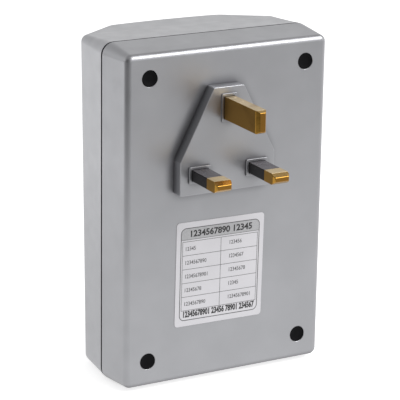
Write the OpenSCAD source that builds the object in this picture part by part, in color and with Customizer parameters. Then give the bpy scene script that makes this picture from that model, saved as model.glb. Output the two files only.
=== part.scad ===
// Plug-in mains spike suppressor and power-factor box: two moulded half shells on a
// three-pin plug, with the circuit board, capacitor and wiring that they hold.
//
// Frame: +Z is up and the pins point along +Y. The origin is on the plug face, midway
// between the live and neutral pins. The front of the box faces -Y. All sizes are in mm.

/* [Plug pins] */
// Distance between the centres of the live and neutral pins
line_pin_spacing = 22.2; // [21:0.1:24]
// Height of the earth pin's centre above the live and neutral pins
earth_pin_rise = 22.2; // [21:0.1:24]
// Width of a live or neutral pin, across the plug
line_pin_w = 6.35; // [5.5:0.05:7.7]
// Thickness of a live or neutral pin, up and down
line_pin_t = 3.97; // [3.5:0.01:4.5]
// Length of a live or neutral pin beyond the plug face
line_pin_len = 17.7; // [15:0.1:20]
// Width of the earth pin, across the plug
earth_pin_w = 3.97; // [3.5:0.01:4.5]
// Height of the earth pin, up and down
earth_pin_h = 7.92; // [7:0.01:8.5]
// Length of the earth pin beyond the plug face
earth_pin_len = 22.7; // [20:0.1:25]
// Length of the bevel round the tip of a live or neutral pin
line_tip_len = 1.8; // [1:0.1:2.4]
// How far that bevel cuts into the top and the bottom of the pin
line_tip_cut = 1.2; // [0.6:0.05:1.4]
// How far that bevel cuts into each side of the pin
line_tip_side_cut = 0.6; // [0.4:0.05:1.2]
// Length of the bevel round the tip of the earth pin
earth_tip_len = 1.5; // [1:0.1:2.4]
// How far that bevel cuts into the top and the bottom of the pin
earth_tip_cut = 0.7; // [0.4:0.05:1.2]
// How far that bevel cuts into each side of the pin
earth_tip_side_cut = 0.9; // [0.4:0.05:1.2]
// How far each insulating sleeve reaches beyond the plug face
sleeve_len = 11; // [8:0.1:13]
// Wall of an insulating sleeve
sleeve_wall = 0.5; // [0.3:0.05:0.8]
// How far a pin's hidden flange is wider than the pin on each side
flange_margin = 1.6; // [1:0.1:2]
// Width of a pin's solder tail
tail_w = 4; // [3:0.1:5]
// Thickness of a pin's solder tail
tail_t = 1.6; // [1:0.1:2]
// Length of a pin's solder tail behind the carrier
tail_len = 6; // [4:0.5:8]

/* [Plug pad] */
// Height of the raised pad above the back of the case
pad_h = 4.6; // [3.6:0.1:6]
// Width of the pad below its shoulders
pad_w = 36.8; // [36:0.2:42]
// Width of the pad at its top edge
pad_top_w = 11.7; // [11:0.1:16]
// Distance from the live and neutral pins down to the pad's bottom edge
pad_drop = 7.3; // [7:0.1:10]
// Distance from the live and neutral pins up to the pad's shoulders
pad_shoulder = 4.8; // [4:0.1:8]
// Distance from the live and neutral pins up to the pad's top edge
pad_rise = 29.5; // [29:0.1:33]
// Thickness of the pad's face
pad_face_t = 2.2; // [1.8:0.1:2.4]
// Height of the collar round the live and neutral pins
collar_h = 0.8; // [0.4:0.1:1.2]
// Height of the collar round the earth pin
earth_collar_h = 0.4; // [0.2:0.1:1.2]
// Width of the collar round each pin
collar_w = 1; // [0.6:0.1:1.4]

/* [Case] */
// Width of the case at the seam, where it is widest
case_w = 80.6; // [76:0.2:100]
// Height of the case at the seam, where it is tallest
case_h = 121.3; // [116:0.1:146]
// Height of the case's top edge above the live and neutral pins
case_top = 43.8; // [43:0.1:50]
// Distance from the middle of the pins to the middle of the case, across
case_shift = 2.4; // [0:0.1:4]
// Depth of the rear shell, from its back to the seam
rear_depth = 15.4; // [14:0.1:19]
// Draft of the rear shell's four sides, in degrees
rear_draft = 5.9; // [1:0.1:7]
// Radius of the edge round the back
rear_edge_r = 2.2; // [1.5:0.1:3]
// Depth of the front shell's sides at the top, from the seam
side_depth_top = 21; // [20:0.1:26]
// Depth of the front shell's sides at the bottom, from the seam
side_depth_bottom = 17.5; // [17:0.1:24]
// Draft of the front shell's left and right sides, in degrees
side_draft = 4.5; // [1:0.1:6]
// Draft of the front shell's top and bottom, in degrees
end_draft = 3.8; // [1:0.1:6]
// Width of each slanted facet at the front
facet_w = 16.7; // [12:0.1:20]
// Depth of each slanted facet at the front
facet_depth = 11.7; // [11:0.1:15]
// Rise of the crown across the front
crown = 1.1; // [0.4:0.1:1.6]
// Radius of the upright corners at the seam
corner_r = 4.4; // [4.2:0.1:6]
// Radius of the corners round the front
front_corner_r = 3.4; // [3.2:0.1:5]
// Wall of both shells
wall = 2.2; // [1.8:0.1:2.4]
// Width of the groove that shows along the seam
groove_w = 0.7; // [0.3:0.1:1]
// Depth of the groove along the seam
groove_d = 0.6; // [0.3:0.1:0.7]
// How far the front shell's lip reaches into the rear shell
lip_h = 2.4; // [1.5:0.1:3]
// Clearance round the lip
lip_gap = 0.15; // [0.1:0.01:0.2]

/* [Case screws] */
// Distance between the case screws, across
screw_pitch_x = 60.4; // [56:0.2:62]
// Distance between the case screws, up and down
screw_pitch_z = 100.7; // [96:0.1:102]
// Distance from the top edge of the case down to the upper case screws
screw_drop = 9.9; // [9.5:0.1:12]
// Diameter of the wells that the case screws sit in
well_d = 5.8; // [5.4:0.1:7]
// Depth of the wells
well_depth = 9.5; // [7:0.1:10]
// Thickness under a case screw's head
well_floor = 2.2; // [1.8:0.1:3]
// Wall of the tubes and posts that take the case screws
post_wall = 1.6; // [1.4:0.1:2]
// Diameter of a case screw's thread
case_screw_d = 3; // [2.6:0.1:3.2]
// Length of a case screw under its head
case_screw_len = 12; // [10:0.5:14]
// Height of the caps that close the wells
cap_h = 3; // [2:0.1:4]
// How deep the caps sit below the back of the case
cap_recess = 0.2; // [0:0.05:0.5]

/* [Rating label] */
// Width of the label
label_w = 34.6; // [30:0.2:40]
// Height of the label
label_h = 37.9; // [34:0.1:42]
// Thickness of the label
label_t = 0.15; // [0.1:0.05:0.3]
// Distance from the live and neutral pins down to the label's top edge
label_drop = 18.4; // [16:0.1:20]
// Radius of the label's corners
label_corner_r = 1.2; // [0.6:0.1:2]
// Tilt of the label as it was stuck on, in degrees
label_tilt = 0.8; // [0:0.1:2]

/* [Front window] */
// Width of the window
window_w = 26; // [24:0.5:32]
// Height of the window
window_h = 10; // [9:0.5:14]
// Thickness of the window's outer part
window_t = 1.4; // [1:0.1:1.8]
// Ledge that the window rests on, all round
window_ledge = 1.2; // [1:0.1:2]
// Height of the window's middle above the live and neutral pins
window_z = 16; // [8:0.5:18]

/* [Circuit board] */
// Width of the board
board_w = 53; // [50:0.5:53]
// Height of the board
board_h = 80; // [78:0.5:84]
// Thickness of the board
board_t = 1.6; // [1:0.1:2]
// Distance from the seam forward to the back of the board
board_depth = 19.4; // [17:0.1:19.4]
// Height of the board's middle below the live and neutral pins
board_drop = 7; // [5:0.5:8]
// Distance from the board's edges to its screws
board_screw_inset = 4; // [3.5:0.1:6]
// Diameter of a board screw's thread
board_screw_d = 2.5; // [2:0.1:2.6]
// Length of a board screw under its head
board_screw_len = 6; // [5:0.5:7]

/* [Parts inside] */
// Width of the power capacitor
cap_w = 48; // [40:0.5:50]
// Height of the power capacitor
cap_z = 36; // [32:0.5:38]
// Depth of the power capacitor
cap_depth = 23; // [18:0.5:24]
// Thickness of the strap that clamps the power capacitor
strap_t = 0.8; // [0.6:0.1:1.2]
// Width of the strap
strap_w = 10; // [8:0.5:14]
// Thickness of the pin carrier
carrier_t = 4; // [3:0.1:5]
// Diameter of the varistor discs
varistor_d = 14; // [10:0.5:16]
// Thickness of the varistor discs
varistor_t = 4.6; // [3.6:0.1:5.5]
// Diameter of the fuse
fuse_d = 5.2; // [5:0.1:5.4]
// Length of the fuse
fuse_len = 20; // [18:0.5:22]
// Diameter of an indicator's round lens
led_d = 5; // [3:0.5:5]
// Diameter of the wires, over their insulation
wire_d = 2.2; // [1.6:0.1:2.6]

/* [Hidden] */

$fn = 48;
// Overlap that keeps cuts and joins clean
eps = 0.05;
// Clearance between a fixed piece and the hole or slot it sits in
fit_gap = 0.1;
// How far a cut runs past the faces that it opens
overcut = 1;
// How far a screw's shank is narrower than its pilot hole
shank_gap = 0.02;
// Steps in each rounded corner of the shells
arc_steps = 6;
// Rings across the crowned front
crown_steps = 4;
// Rings round the rear edge
edge_steps = 4;

// ---- Planes along Y, from the plug face into the case ----
back_y = -pad_h;
seam_y = back_y - rear_depth;
inner_back_y = back_y - wall;
board_y = seam_y - board_depth;
board_front_y = board_y - board_t;
tube_end_y = back_y - well_depth - well_floor;

// ---- The case outline at the seam ----
case_x = -case_shift;
case_bottom = case_top - case_h;
seam_half = case_w / 2;
side_half = seam_half - tan(side_draft) * side_depth_top;
centre_half = side_half - facet_w;
// How far an inner surface moves at the two edges of a slanted facet, for each mm of wall
facet_len = norm([facet_w, facet_depth]);
facet_in_y = (1 - facet_depth / facet_len) / (facet_w / facet_len);
facet_in_x = (1 - facet_w / facet_len) / (facet_depth / facet_len);
// Lean of the front face, which is nearer the wall at the bottom
front_lean = atan((side_depth_top - side_depth_bottom) / case_h);

// ---- Screw places ----
screw_top_z = case_top - screw_drop;
screw_places = [for (sx = [-1, 1], z = [screw_top_z, screw_top_z - screw_pitch_z])
    [case_x + sx * screw_pitch_x / 2, z]];
tube_d = well_d + 2 * post_wall;
post_d = case_screw_d + 2 * post_wall;
screw_head_d = well_d - 0.4;
screw_head_h = 2.2;
small_head_d = 2 * board_screw_d - 0.4;
small_head_h = 1.6;
// The cross in a screw's head, as shares of the head's width
cross_len = 0.6;
cross_w = 0.16;
pilot_ratio = 0.84;
screw_hole_gap = 0.4;

// ---- Pins ----
live_x = line_pin_spacing / 2;
flange_y = -pad_face_t;
pocket_depth = pad_h + wall - pad_face_t;
carrier_back_y = inner_back_y - carrier_t;
tail_end_y = carrier_back_y - tail_len;
carrier_margin = 2;
carrier_half = pad_w / 2 + carrier_margin;
carrier_bottom = -pad_drop - carrier_margin;
carrier_top = pad_rise + 0.75 * carrier_margin;
ear_t = 1.6;
ear_d = 7;
ear_reach = 4.5;
ear_places = [
    [-carrier_half - ear_reach, 0],
    [carrier_half + ear_reach, 0]
];
carrier_screw_len = carrier_t - ear_t + wall / 2;

// ---- Power capacitor, standing on a foam pad against the rear shell ----
cap_pad_t = 0.8;
pad_inset = 5;
cap_rise = 23;
cap_mid_z = screw_top_z - screw_pitch_z + cap_rise;
cap_back_y = inner_back_y - cap_pad_t;
cap_front_y = cap_back_y - cap_depth;
rib_t = 1.4;
rib_gap = 0.3;
rib_h = 7;
strap_foot = 7;
strap_boss_h = 4;
strap_boss_d = strap_foot - 0.4;
strap_screw_len = strap_boss_h + wall / 2;
strap_screw_x = cap_w / 2 + rib_gap + strap_t + strap_foot / 2;

// ---- Places on the board, as [x, z] from its middle ----
board_z = -board_drop;
suppressor_size = [26, 15, 11];
suppressor_at = [-6, 32];
varistor_live_neutral_at = [-19, 8];
varistor_live_earth_at = [-4, 8];
varistor_neutral_earth_at = [11, 8];
varistor_lift = 1.5;
fuse_at = [21, 4];
smoothing_at = [-12, -11];
smoothing_d = 10;
smoothing_h = 14;
diode_at = [5, -12];
diode_d = 2.7;
diode_len = 5.2;
diode_pitch = 4.4;
diode_rows = 4;
bleed_at = [16, -16];
bleed_d = 3.6;
bleed_len = 9;
led_resistor_at = [-2, -30];
resistor_d = 2.4;
resistor_len = 6.4;
resistor_pitch = 7;
led_at = [0, window_z - board_z];
led_pitch = 12;
lead_d = 0.8;
lead_stub = 1.2;
body_lift = 0.6;
live_pad_at = [21, 22];
neutral_pad_at = [-23.5, -4];
earth_pad_at = [12, 20];
cap_live_pad_at = [23, -14];
cap_neutral_pad_at = [-23, -16];

// Two leads on a part's line: its place, the distance between the leads and their direction
function lead_pair(at, pitch, along) = [at - along * pitch / 2, at + along * pitch / 2];
ACROSS = [1, 0];
UP = [0, 1];
suppressor_leads = lead_pair(suppressor_at, 22.5, ACROSS);
function varistor_leads(at) = lead_pair(at, 7.5, UP);
smoothing_leads = lead_pair(smoothing_at, 5, ACROSS);
function diode_place(k) = diode_at + [0, k * diode_pitch - (diode_rows - 1) * diode_pitch / 2];
function diode_leads(k) = lead_pair(diode_place(k), diode_len + 4, ACROSS);
bleed_leads = lead_pair(bleed_at, bleed_len + 4, UP);
function resistor_place(k) = led_resistor_at + [0, k * resistor_pitch];
function resistor_leads(k) = lead_pair(resistor_place(k), resistor_len + 4, ACROSS);
function led_place(side) = led_at + [side * led_pitch / 2, 0];
function led_leads(side) = lead_pair(led_place(side), 2.54, ACROSS);
clip_pitch = fuse_len - 5;
clip_leads = lead_pair(fuse_at, clip_pitch, UP);
all_leads = concat(
    suppressor_leads,
    varistor_leads(varistor_live_neutral_at),
    varistor_leads(varistor_live_earth_at),
    varistor_leads(varistor_neutral_earth_at),
    smoothing_leads,
    diode_leads(0), diode_leads(1), diode_leads(2), diode_leads(3),
    bleed_leads,
    resistor_leads(0), resistor_leads(1),
    led_leads(-1), led_leads(1),
    clip_leads
);
board_screw_places = [for (sx = [-1, 1], sz = [-1, 1])
    [sx * (board_w / 2 - board_screw_inset), sz * (board_h / 2 - board_screw_inset)]];

// ---- Small helpers ----
function lerp(a, b, t) = a + (b - a) * t;

// Extrudes an outline drawn in X and Z from y_from towards the front, to y_to
module along_y(y_from, y_to) {
    translate([0, y_from, 0])
        rotate([90, 0, 0])
            linear_extrude(y_from - y_to)
                children();
}

// A round rod or hole along Y
module rod(x, z, y_from, y_to, d) {
    translate([x, y_from, z])
        rotate([90, 0, 0])
            cylinder(h = y_from - y_to, d = d);
}

// A block given by its middle in X and Z, its size there, and its two ends in Y
module block(x, z, w, h, y_from, y_to) {
    translate([x - w / 2, y_to, z - h / 2])
        cube([w, y_from - y_to, h]);
}

// Moves an [x, z] place on the board into the frame of the whole object
module at_board(at) {
    translate([case_x + at[0], 0, board_z + at[1]])
        children();
}

module board_leads(leads, y_from = board_y + body_lift) {
    for (at = leads)
        at_board(at)
            rod(0, 0, y_from, board_front_y - lead_stub, lead_d);
}

// One ring of a shell: a rounded rectangle whose depth changes evenly from bottom to top
function ring(half_w, bottom, top, r, y_bottom, y_top) = [
    for (corner = [0:3], k = [0:arc_steps])
        let (
            a = 90 * (corner + k / arc_steps),
            cx = (corner == 0 || corner == 3 ? 1 : -1) * (half_w - r),
            cz = corner < 2 ? top - r : bottom + r,
            z = cz + r * sin(a)
        )
        [case_x + cx + r * cos(a), lerp(y_bottom, y_top, (z - bottom) / (top - bottom)), z]
];

// A solid through rings of equal count, which run from the back of the object to its front
module loft(rings) {
    n = len(rings[0]);
    last = len(rings) - 1;
    polyhedron(
        points = [for (r = rings) each r],
        faces = concat(
            [[for (i = [0:n - 1]) i]],
            [for (k = [0:last - 1], i = [0:n - 1])
                [k * n + i, (k + 1) * n + i, (k + 1) * n + (i + 1) % n, k * n + (i + 1) % n]],
            [[for (i = [n - 1:-1:0]) last * n + i]]
        ),
        convexity = 6
    );
}

// A ring of the rear shell at a given depth behind its back, inset from the outer surface
function rear_ring(depth, inset, y = undef) =
    let (
        draft = tan(rear_draft) * (rear_depth - depth) + inset,
        y_here = is_undef(y) ? back_y - depth : y
    )
    ring(seam_half - draft, case_bottom + draft, case_top - draft,
         max(corner_r - draft * 0.6, 0.8), y_here, y_here);

// Outside of the rear shell: a rounded edge, then drafted sides down to the seam
rear_outer = concat(
    [for (k = [0:edge_steps])
        let (
            a = 90 * k / edge_steps,
            inset = rear_edge_r * (1 - sin(a)),
            depth = rear_edge_r * (1 - cos(a))
        )
        rear_ring(rear_edge_r, inset, back_y - depth)],
    [rear_ring(rear_depth, 0)]
);

// Inside of the rear shell, with a rebate at the seam for the front shell's lip
skin_t = wall / 2;
rebate_depth = rear_depth - lip_h - lip_gap;
rear_inner = [
    rear_ring(wall, wall),
    rear_ring(rebate_depth, wall),
    rear_ring(rebate_depth, skin_t),
    rear_ring(rear_depth, skin_t),
    rear_ring(rear_depth, skin_t, seam_y - 1)
];

// A ring of the front shell: 0 at the seam to 1 at the slanted facets, inset from the surface
function front_end(bottom_side, t, inset) =
    let (depth = t * (bottom_side ? side_depth_bottom : side_depth_top))
    tan(end_draft) * depth + inset;
function front_ring(half_w, t, inset, r, dy) =
    ring(half_w, case_bottom + front_end(true, t, inset), case_top - front_end(false, t, inset), r,
         seam_y - min(t, 1) * side_depth_bottom + dy, seam_y - min(t, 1) * side_depth_top + dy);

// Height of the crown at a share of the way from its edge to its middle
function crown_at(s) = crown * (1 - (1 - s) * (1 - s));

// Outside or inside of the front shell, from just in front of the seam to the crown
function front_surface(inset) = concat(
    [front_ring(side_half - inset, 1, inset, front_corner_r - inset, inset * facet_in_y)],
    [for (k = [0:crown_steps])
        let (s = k / crown_steps)
        front_ring((centre_half - inset * facet_in_x) * (1 - s * 0.96), 1, inset + 0.4,
                   0.4, inset - facet_depth - crown_at(s))]
);

front_outer = concat(
    [rear_ring(rear_depth - lip_h, skin_t + lip_gap),
     rear_ring(rear_depth, skin_t + lip_gap),
     rear_ring(rear_depth, groove_d),
     rear_ring(rear_depth, groove_d, seam_y - groove_w),
     rear_ring(rear_depth, 0, seam_y - groove_w)],
    front_surface(0)
);

front_inner = concat(
    [rear_ring(rear_depth - lip_h, wall, seam_y + lip_h + 1),
     rear_ring(rear_depth, wall, seam_y - groove_w)],
    front_surface(wall)
);

// The whole front shell filled to the middle of its wall, to cut its posts to length
front_fill = concat(
    [rear_ring(rear_depth - lip_h, wall, inner_back_y)],
    front_surface(wall / 2)
);

// Height of the front face at z, on the line where the crown begins
function front_face_y(z) =
    seam_y - lerp(side_depth_bottom, side_depth_top, (z - case_bottom) / case_h) - facet_depth;

// Corners of the pad's outline, moved inwards by inset
function pad_corners(inset) =
    let (
        half = pad_w / 2,
        slope = [pad_top_w / 2 - half, pad_rise - pad_shoulder] /
                norm([pad_top_w / 2 - half, pad_rise - pad_shoulder]),
        nx = -slope[1],
        nz = slope[0],
        shoulder = pad_shoulder + inset * (1 + nx) / nz,
        top = pad_rise - inset,
        top_half = half + (inset - (top - pad_shoulder) * nz) / nx
    )
    [[-half + inset, inset - pad_drop], [half - inset, inset - pad_drop],
     [half - inset, shoulder], [top_half, top], [-top_half, top], [-half + inset, shoulder]];

// ---- Case ----
module pin_slots(gap) {
    for (side = [-1, 1])
        block(side * live_x, 0, line_pin_w + 2 * gap, line_pin_t + 2 * gap,
              collar_h + overcut, flange_y - overcut);
    block(0, earth_pin_rise, earth_pin_w + 2 * gap, earth_pin_h + 2 * gap,
          earth_collar_h + overcut, flange_y - overcut);
}

// Room for the pins' flanges, which reach a little into the pad's slanted walls
module flange_room(x, z, w, h) {
    block(x, z, w + 2 * (flange_margin + fit_gap), h + 2 * (flange_margin + fit_gap),
          flange_y, inner_back_y - eps);
}

module rear_shell() {
    color([0.71, 0.72, 0.73])
        difference() {
            union() {
                difference() {
                    loft(rear_outer);
                    loft(rear_inner);
                }
                along_y(0, inner_back_y + eps)
                    polygon(pad_corners(0));
                for (side = [-1, 1])
                    block(side * live_x, 0, line_pin_w + 2 * collar_w, line_pin_t + 2 * collar_w,
                          collar_h, flange_y / 2);
                block(0, earth_pin_rise, earth_pin_w + 2 * collar_w, earth_pin_h + 2 * collar_w,
                      earth_collar_h, flange_y / 2);
                for (at = screw_places)
                    rod(at[0], at[1], inner_back_y + eps, tube_end_y, tube_d);
                for (at = ear_places)
                    rod(at[0], at[1], inner_back_y + eps, carrier_back_y + ear_t, ear_d);
                for (side = [-1, 1])
                    rod(case_x + side * strap_screw_x, cap_mid_z, inner_back_y + eps,
                        inner_back_y - strap_boss_h, strap_boss_d);
                capacitor_ribs();
            }
            along_y(flange_y, inner_back_y - eps)
                polygon(pad_corners(wall));
            flange_room(0, earth_pin_rise, earth_pin_w, earth_pin_h);
            for (side = [-1, 1])
                flange_room(side * live_x, 0, line_pin_w, line_pin_t);
            pin_slots(fit_gap);
            for (at = screw_places) {
                rod(at[0], at[1], back_y + overcut, back_y - well_depth, well_d);
                rod(at[0], at[1], back_y, tube_end_y - overcut, case_screw_d + screw_hole_gap);
            }
            for (at = ear_places)
                rod(at[0], at[1], carrier_back_y + ear_t + carrier_screw_len, tube_end_y,
                    board_screw_d * pilot_ratio);
            for (side = [-1, 1])
                rod(case_x + side * strap_screw_x, cap_mid_z,
                    inner_back_y - strap_boss_h + strap_screw_len, tube_end_y,
                    board_screw_d * pilot_ratio);
        }
}

// Low walls on the rear shell that locate the power capacitor
module capacitor_ribs() {
    for (side = [-1, 1], end = [-1, 1])
        block(case_x + side * (cap_w / 2 + rib_gap + rib_t / 2), cap_mid_z + end * cap_z / 3,
              rib_t, cap_z / 4, inner_back_y + eps, inner_back_y - rib_h);
    for (end = [-1, 1])
        block(case_x, cap_mid_z + end * (cap_z / 2 + rib_gap + rib_t / 2), cap_w / 2, rib_t,
              inner_back_y + eps, inner_back_y - rib_h);
}

// Places a piece on the leaning front face, with +Z of the piece pointing out of it
module on_front_face() {
    translate([case_x, front_face_y(window_z) - crown, window_z])
        rotate([90 - front_lean, 0, 0])
            children();
}

module round_slab(w, h, from, to) {
    translate([0, 0, from])
        linear_extrude(to - from) {
            square([w - h, h], center = true);
            for (side = [-1, 1])
                translate([side * (w - h) / 2, 0])
                    circle(d = h);
        }
}

window_recess = 0.3;
window_seat = -window_t - window_recess;
ledge_t = 2;
ledge_margin = 1.5;
// How far a post runs towards the front wall, which cuts it off
post_reach = 12;

module front_shell() {
    color([0.74, 0.75, 0.76])
        difference() {
            union() {
                difference() {
                    loft(front_outer);
                    loft(front_inner);
                }
                intersection() {
                    loft(front_fill);
                    union() {
                        for (at = screw_places)
                            rod(at[0], at[1], tube_end_y, board_front_y - post_reach, post_d);
                        for (at = board_screw_places)
                            at_board(at)
                                rod(0, 0, board_front_y, board_front_y - post_reach,
                                    board_screw_d + 2 * post_wall);
                        on_front_face()
                            round_slab(window_w + 2 * ledge_margin, window_h + 2 * ledge_margin,
                                       window_seat - ledge_t, window_seat);
                    }
                }
            }
            on_front_face() {
                round_slab(window_w + 2 * fit_gap, window_h + 2 * fit_gap, window_seat, overcut);
                round_slab(window_w - 2 * window_ledge, window_h - 2 * window_ledge,
                           window_seat - ledge_t - overcut, overcut);
            }
            for (at = screw_places)
                rod(at[0], at[1], tube_end_y + overcut, tube_end_y - case_screw_len,
                    case_screw_d * pilot_ratio);
            for (at = board_screw_places)
                at_board(at)
                    rod(0, 0, board_y, board_y - board_screw_len, board_screw_d * pilot_ratio);
        }
}

module front_window() {
    color([0.12, 0.13, 0.14])
        on_front_face() {
            round_slab(window_w, window_h, window_seat, window_seat + window_t);
            round_slab(window_w - 2 * window_ledge - 2 * fit_gap,
                       window_h - 2 * window_ledge - 2 * fit_gap, window_seat - 1.2, window_seat);
        }
}

module rating_label() {
    label_mid = [0, -label_drop - label_h / 2];
    straight_w = label_w - 2 * label_corner_r;
    straight_h = label_h - 2 * label_corner_r;
    color([0.9, 0.9, 0.89])
        translate([label_mid[0], 0, label_mid[1]])
            rotate([0, -label_tilt, 0])
                along_y(back_y + label_t, back_y) {
                    square([label_w, straight_h], center = true);
                    square([straight_w, label_h], center = true);
                    for (sx = [-1, 1], sz = [-1, 1])
                        translate([sx * straight_w / 2, sz * straight_h / 2])
                            circle(r = label_corner_r);
                }
}

// A pan-headed screw along Y, with its head's underside at y and its tip towards y_tip
module screw(x, z, y, y_tip, d, head_d, head_h) {
    towards_front = y > y_tip;
    head_end = towards_front ? y + head_h : y - head_h;
    difference() {
        union() {
            rod(x, z, max(y, y_tip), min(y, y_tip), d * pilot_ratio - shank_gap);
            rod(x, z, max(y, head_end), min(y, head_end), head_d);
        }
        for (turn = [0, 90])
            translate([x, head_end, z])
                rotate([0, turn, 0])
                    cube([head_d * cross_len, head_h, head_d * cross_w], center = true);
    }
}

module case_screws() {
    color([0.62, 0.63, 0.65])
        for (at = screw_places)
            screw(at[0], at[1], back_y - well_depth, back_y - well_depth - case_screw_len,
                  case_screw_d, screw_head_d, screw_head_h);
}

module screw_caps() {
    color([0.04, 0.04, 0.05])
        for (at = screw_places)
            rod(at[0], at[1], back_y - cap_recess, back_y - cap_recess - cap_h,
                well_d - fit_gap);
}

// ---- Plug pins ----
// The outline of a bar of width w from y_from out to y_tip, with a bevel on each side of its tip
module bevelled_outline(w, y_from, y_tip, tip_len, cut) {
    polygon([[-w / 2, y_from], [w / 2, y_from], [w / 2, y_tip - tip_len],
             [w / 2 - cut, y_tip], [cut - w / 2, y_tip], [-w / 2, y_tip - tip_len]]);
}

// A straight bar with a bevelled tip, from y_from out to y_tip
module pin_bar(w, h, y_from, y_tip, tip_len, side_cut, cut) {
    intersection() {
        linear_extrude(h, center = true)
            bevelled_outline(w, y_from, y_tip, tip_len, side_cut);
        rotate([0, -90, 0])
            linear_extrude(w, center = true)
                bevelled_outline(h, y_from, y_tip, tip_len, cut);
    }
}

// The flange that the carrier traps, and the solder tail behind it
module pin_root(w, h, upright) {
    block(0, 0, w + 2 * flange_margin, h + 2 * flange_margin, flange_y, flange_y - pocket_depth);
    block(0, 0, upright ? tail_t : tail_w, upright ? tail_w : tail_t, flange_y, tail_end_y);
}

module line_pin(side) {
    color([0.80, 0.58, 0.28])
        translate([side * live_x, 0, 0]) {
            pin_bar(line_pin_w, line_pin_t, sleeve_len, line_pin_len, line_tip_len,
                    line_tip_side_cut, line_tip_cut);
            block(0, 0, line_pin_w - 2 * sleeve_wall, line_pin_t - 2 * sleeve_wall,
                  sleeve_len + eps, flange_y - eps);
            pin_root(line_pin_w, line_pin_t, false);
        }
}

module live_pin() {
    line_pin(1);
}

module neutral_pin() {
    line_pin(-1);
}

module earth_pin() {
    color([0.80, 0.58, 0.28])
        translate([0, 0, earth_pin_rise]) {
            pin_bar(earth_pin_w, earth_pin_h, flange_y - eps, earth_pin_len, earth_tip_len,
                    earth_tip_side_cut, earth_tip_cut);
            pin_root(earth_pin_w, earth_pin_h, true);
        }
}

module line_sleeve(side) {
    color([0.10, 0.09, 0.10])
        difference() {
            block(side * live_x, 0, line_pin_w, line_pin_t, sleeve_len, flange_y);
            block(side * live_x, 0, line_pin_w - 2 * sleeve_wall, line_pin_t - 2 * sleeve_wall,
                  sleeve_len + overcut, flange_y - overcut);
        }
}

module live_sleeve() {
    line_sleeve(1);
}

module neutral_sleeve() {
    line_sleeve(-1);
}

// Insulating plate that traps the three flanges in the pocket behind the pad
module pin_carrier() {
    color([0.16, 0.16, 0.17])
        difference() {
            union() {
                block(0, (carrier_top + carrier_bottom) / 2, 2 * carrier_half,
                      carrier_top - carrier_bottom, inner_back_y, carrier_back_y);
                for (at = ear_places) {
                    block(at[0] - sign(at[0]) * ear_reach / 2, at[1], ear_reach, ear_d,
                          carrier_back_y + ear_t, carrier_back_y);
                    rod(at[0], at[1], carrier_back_y + ear_t, carrier_back_y, ear_d);
                }
            }
            for (side = [-1, 1])
                block(side * live_x, 0, tail_w + 2 * fit_gap, tail_t + 2 * fit_gap,
                      inner_back_y + overcut, carrier_back_y - overcut);
            block(0, earth_pin_rise, tail_t + 2 * fit_gap, tail_w + 2 * fit_gap,
                  inner_back_y + overcut, carrier_back_y - overcut);
            for (at = ear_places)
                rod(at[0], at[1], carrier_back_y + ear_t + overcut, carrier_back_y - overcut,
                    board_screw_d + screw_hole_gap);
        }
}

module small_screw(x, z, y, y_tip) {
    screw(x, z, y, y_tip, board_screw_d, small_head_d, small_head_h);
}

module carrier_screws() {
    color([0.62, 0.63, 0.65])
        for (at = ear_places)
            small_screw(at[0], at[1], carrier_back_y, carrier_back_y + ear_t + carrier_screw_len);
}

// ---- Circuit board ----
module main_board() {
    color([0.62, 0.48, 0.26])
        difference() {
            block(case_x, board_z, board_w, board_h, board_y, board_front_y);
            for (at = all_leads)
                at_board(at)
                    rod(0, 0, board_y + overcut, board_front_y - overcut, lead_d + 2 * fit_gap);
            for (at = board_screw_places)
                at_board(at)
                    rod(0, 0, board_y + overcut, board_front_y - overcut,
                        board_screw_d + screw_hole_gap);
        }
}

module board_screws() {
    color([0.62, 0.63, 0.65])
        for (at = board_screw_places)
            at_board(at)
                small_screw(0, 0, board_y, board_y - board_screw_len);
}

module suppressor_capacitor() {
    color([0.85, 0.68, 0.16]) {
        at_board(suppressor_at)
            block(0, 0, suppressor_size[0], suppressor_size[2],
                  board_y + suppressor_size[1], board_y);
        board_leads(suppressor_leads);
    }
}

module varistor(at) {
    mid_y = board_y + varistor_lift + varistor_d / 2;
    color([0.12, 0.28, 0.62]) {
        at_board(at)
            translate([-varistor_t / 2, mid_y, 0])
                rotate([0, 90, 0])
                    cylinder(h = varistor_t, d = varistor_d);
        board_leads(varistor_leads(at), mid_y);
    }
}

module varistor_live_neutral() {
    varistor(varistor_live_neutral_at);
}

module varistor_live_earth() {
    varistor(varistor_live_earth_at);
}

module varistor_neutral_earth() {
    varistor(varistor_neutral_earth_at);
}

// ---- Fuse, lying upright along Z in two clips ----
clip_lift = 2;
fuse_y = board_y + clip_lift + fuse_d / 2;
fuse_cap_len = 5;
fuse_wire_d = 0.4;
// Wall of the end caps, and of the tube that they hold
fuse_wall = 0.6;

module fuse_rod(from, to, d) {
    at_board(fuse_at)
        translate([0, fuse_y, from])
            cylinder(h = to - from, d = d);
}

module fuse_tube() {
    inner_half = fuse_len / 2 - fuse_wall;
    color([0.85, 0.92, 0.94])
        difference() {
            fuse_rod(-inner_half, inner_half, fuse_d - fuse_wall);
            fuse_rod(-fuse_len, fuse_len, fuse_d - 3 * fuse_wall);
        }
}

module fuse_end_caps() {
    color([0.78, 0.78, 0.76])
        for (end = [-1, 1])
            difference() {
                fuse_rod(min(end * fuse_len / 2, end * (fuse_len / 2 - fuse_cap_len)),
                         max(end * fuse_len / 2, end * (fuse_len / 2 - fuse_cap_len)), fuse_d);
                fuse_rod(fuse_wall - fuse_len / 2, fuse_len / 2 - fuse_wall, fuse_d - fuse_wall);
            }
}

module fuse_wire() {
    color([0.75, 0.75, 0.72])
        fuse_rod(fuse_wall - fuse_len / 2, fuse_len / 2 - fuse_wall, fuse_wire_d);
}

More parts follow.
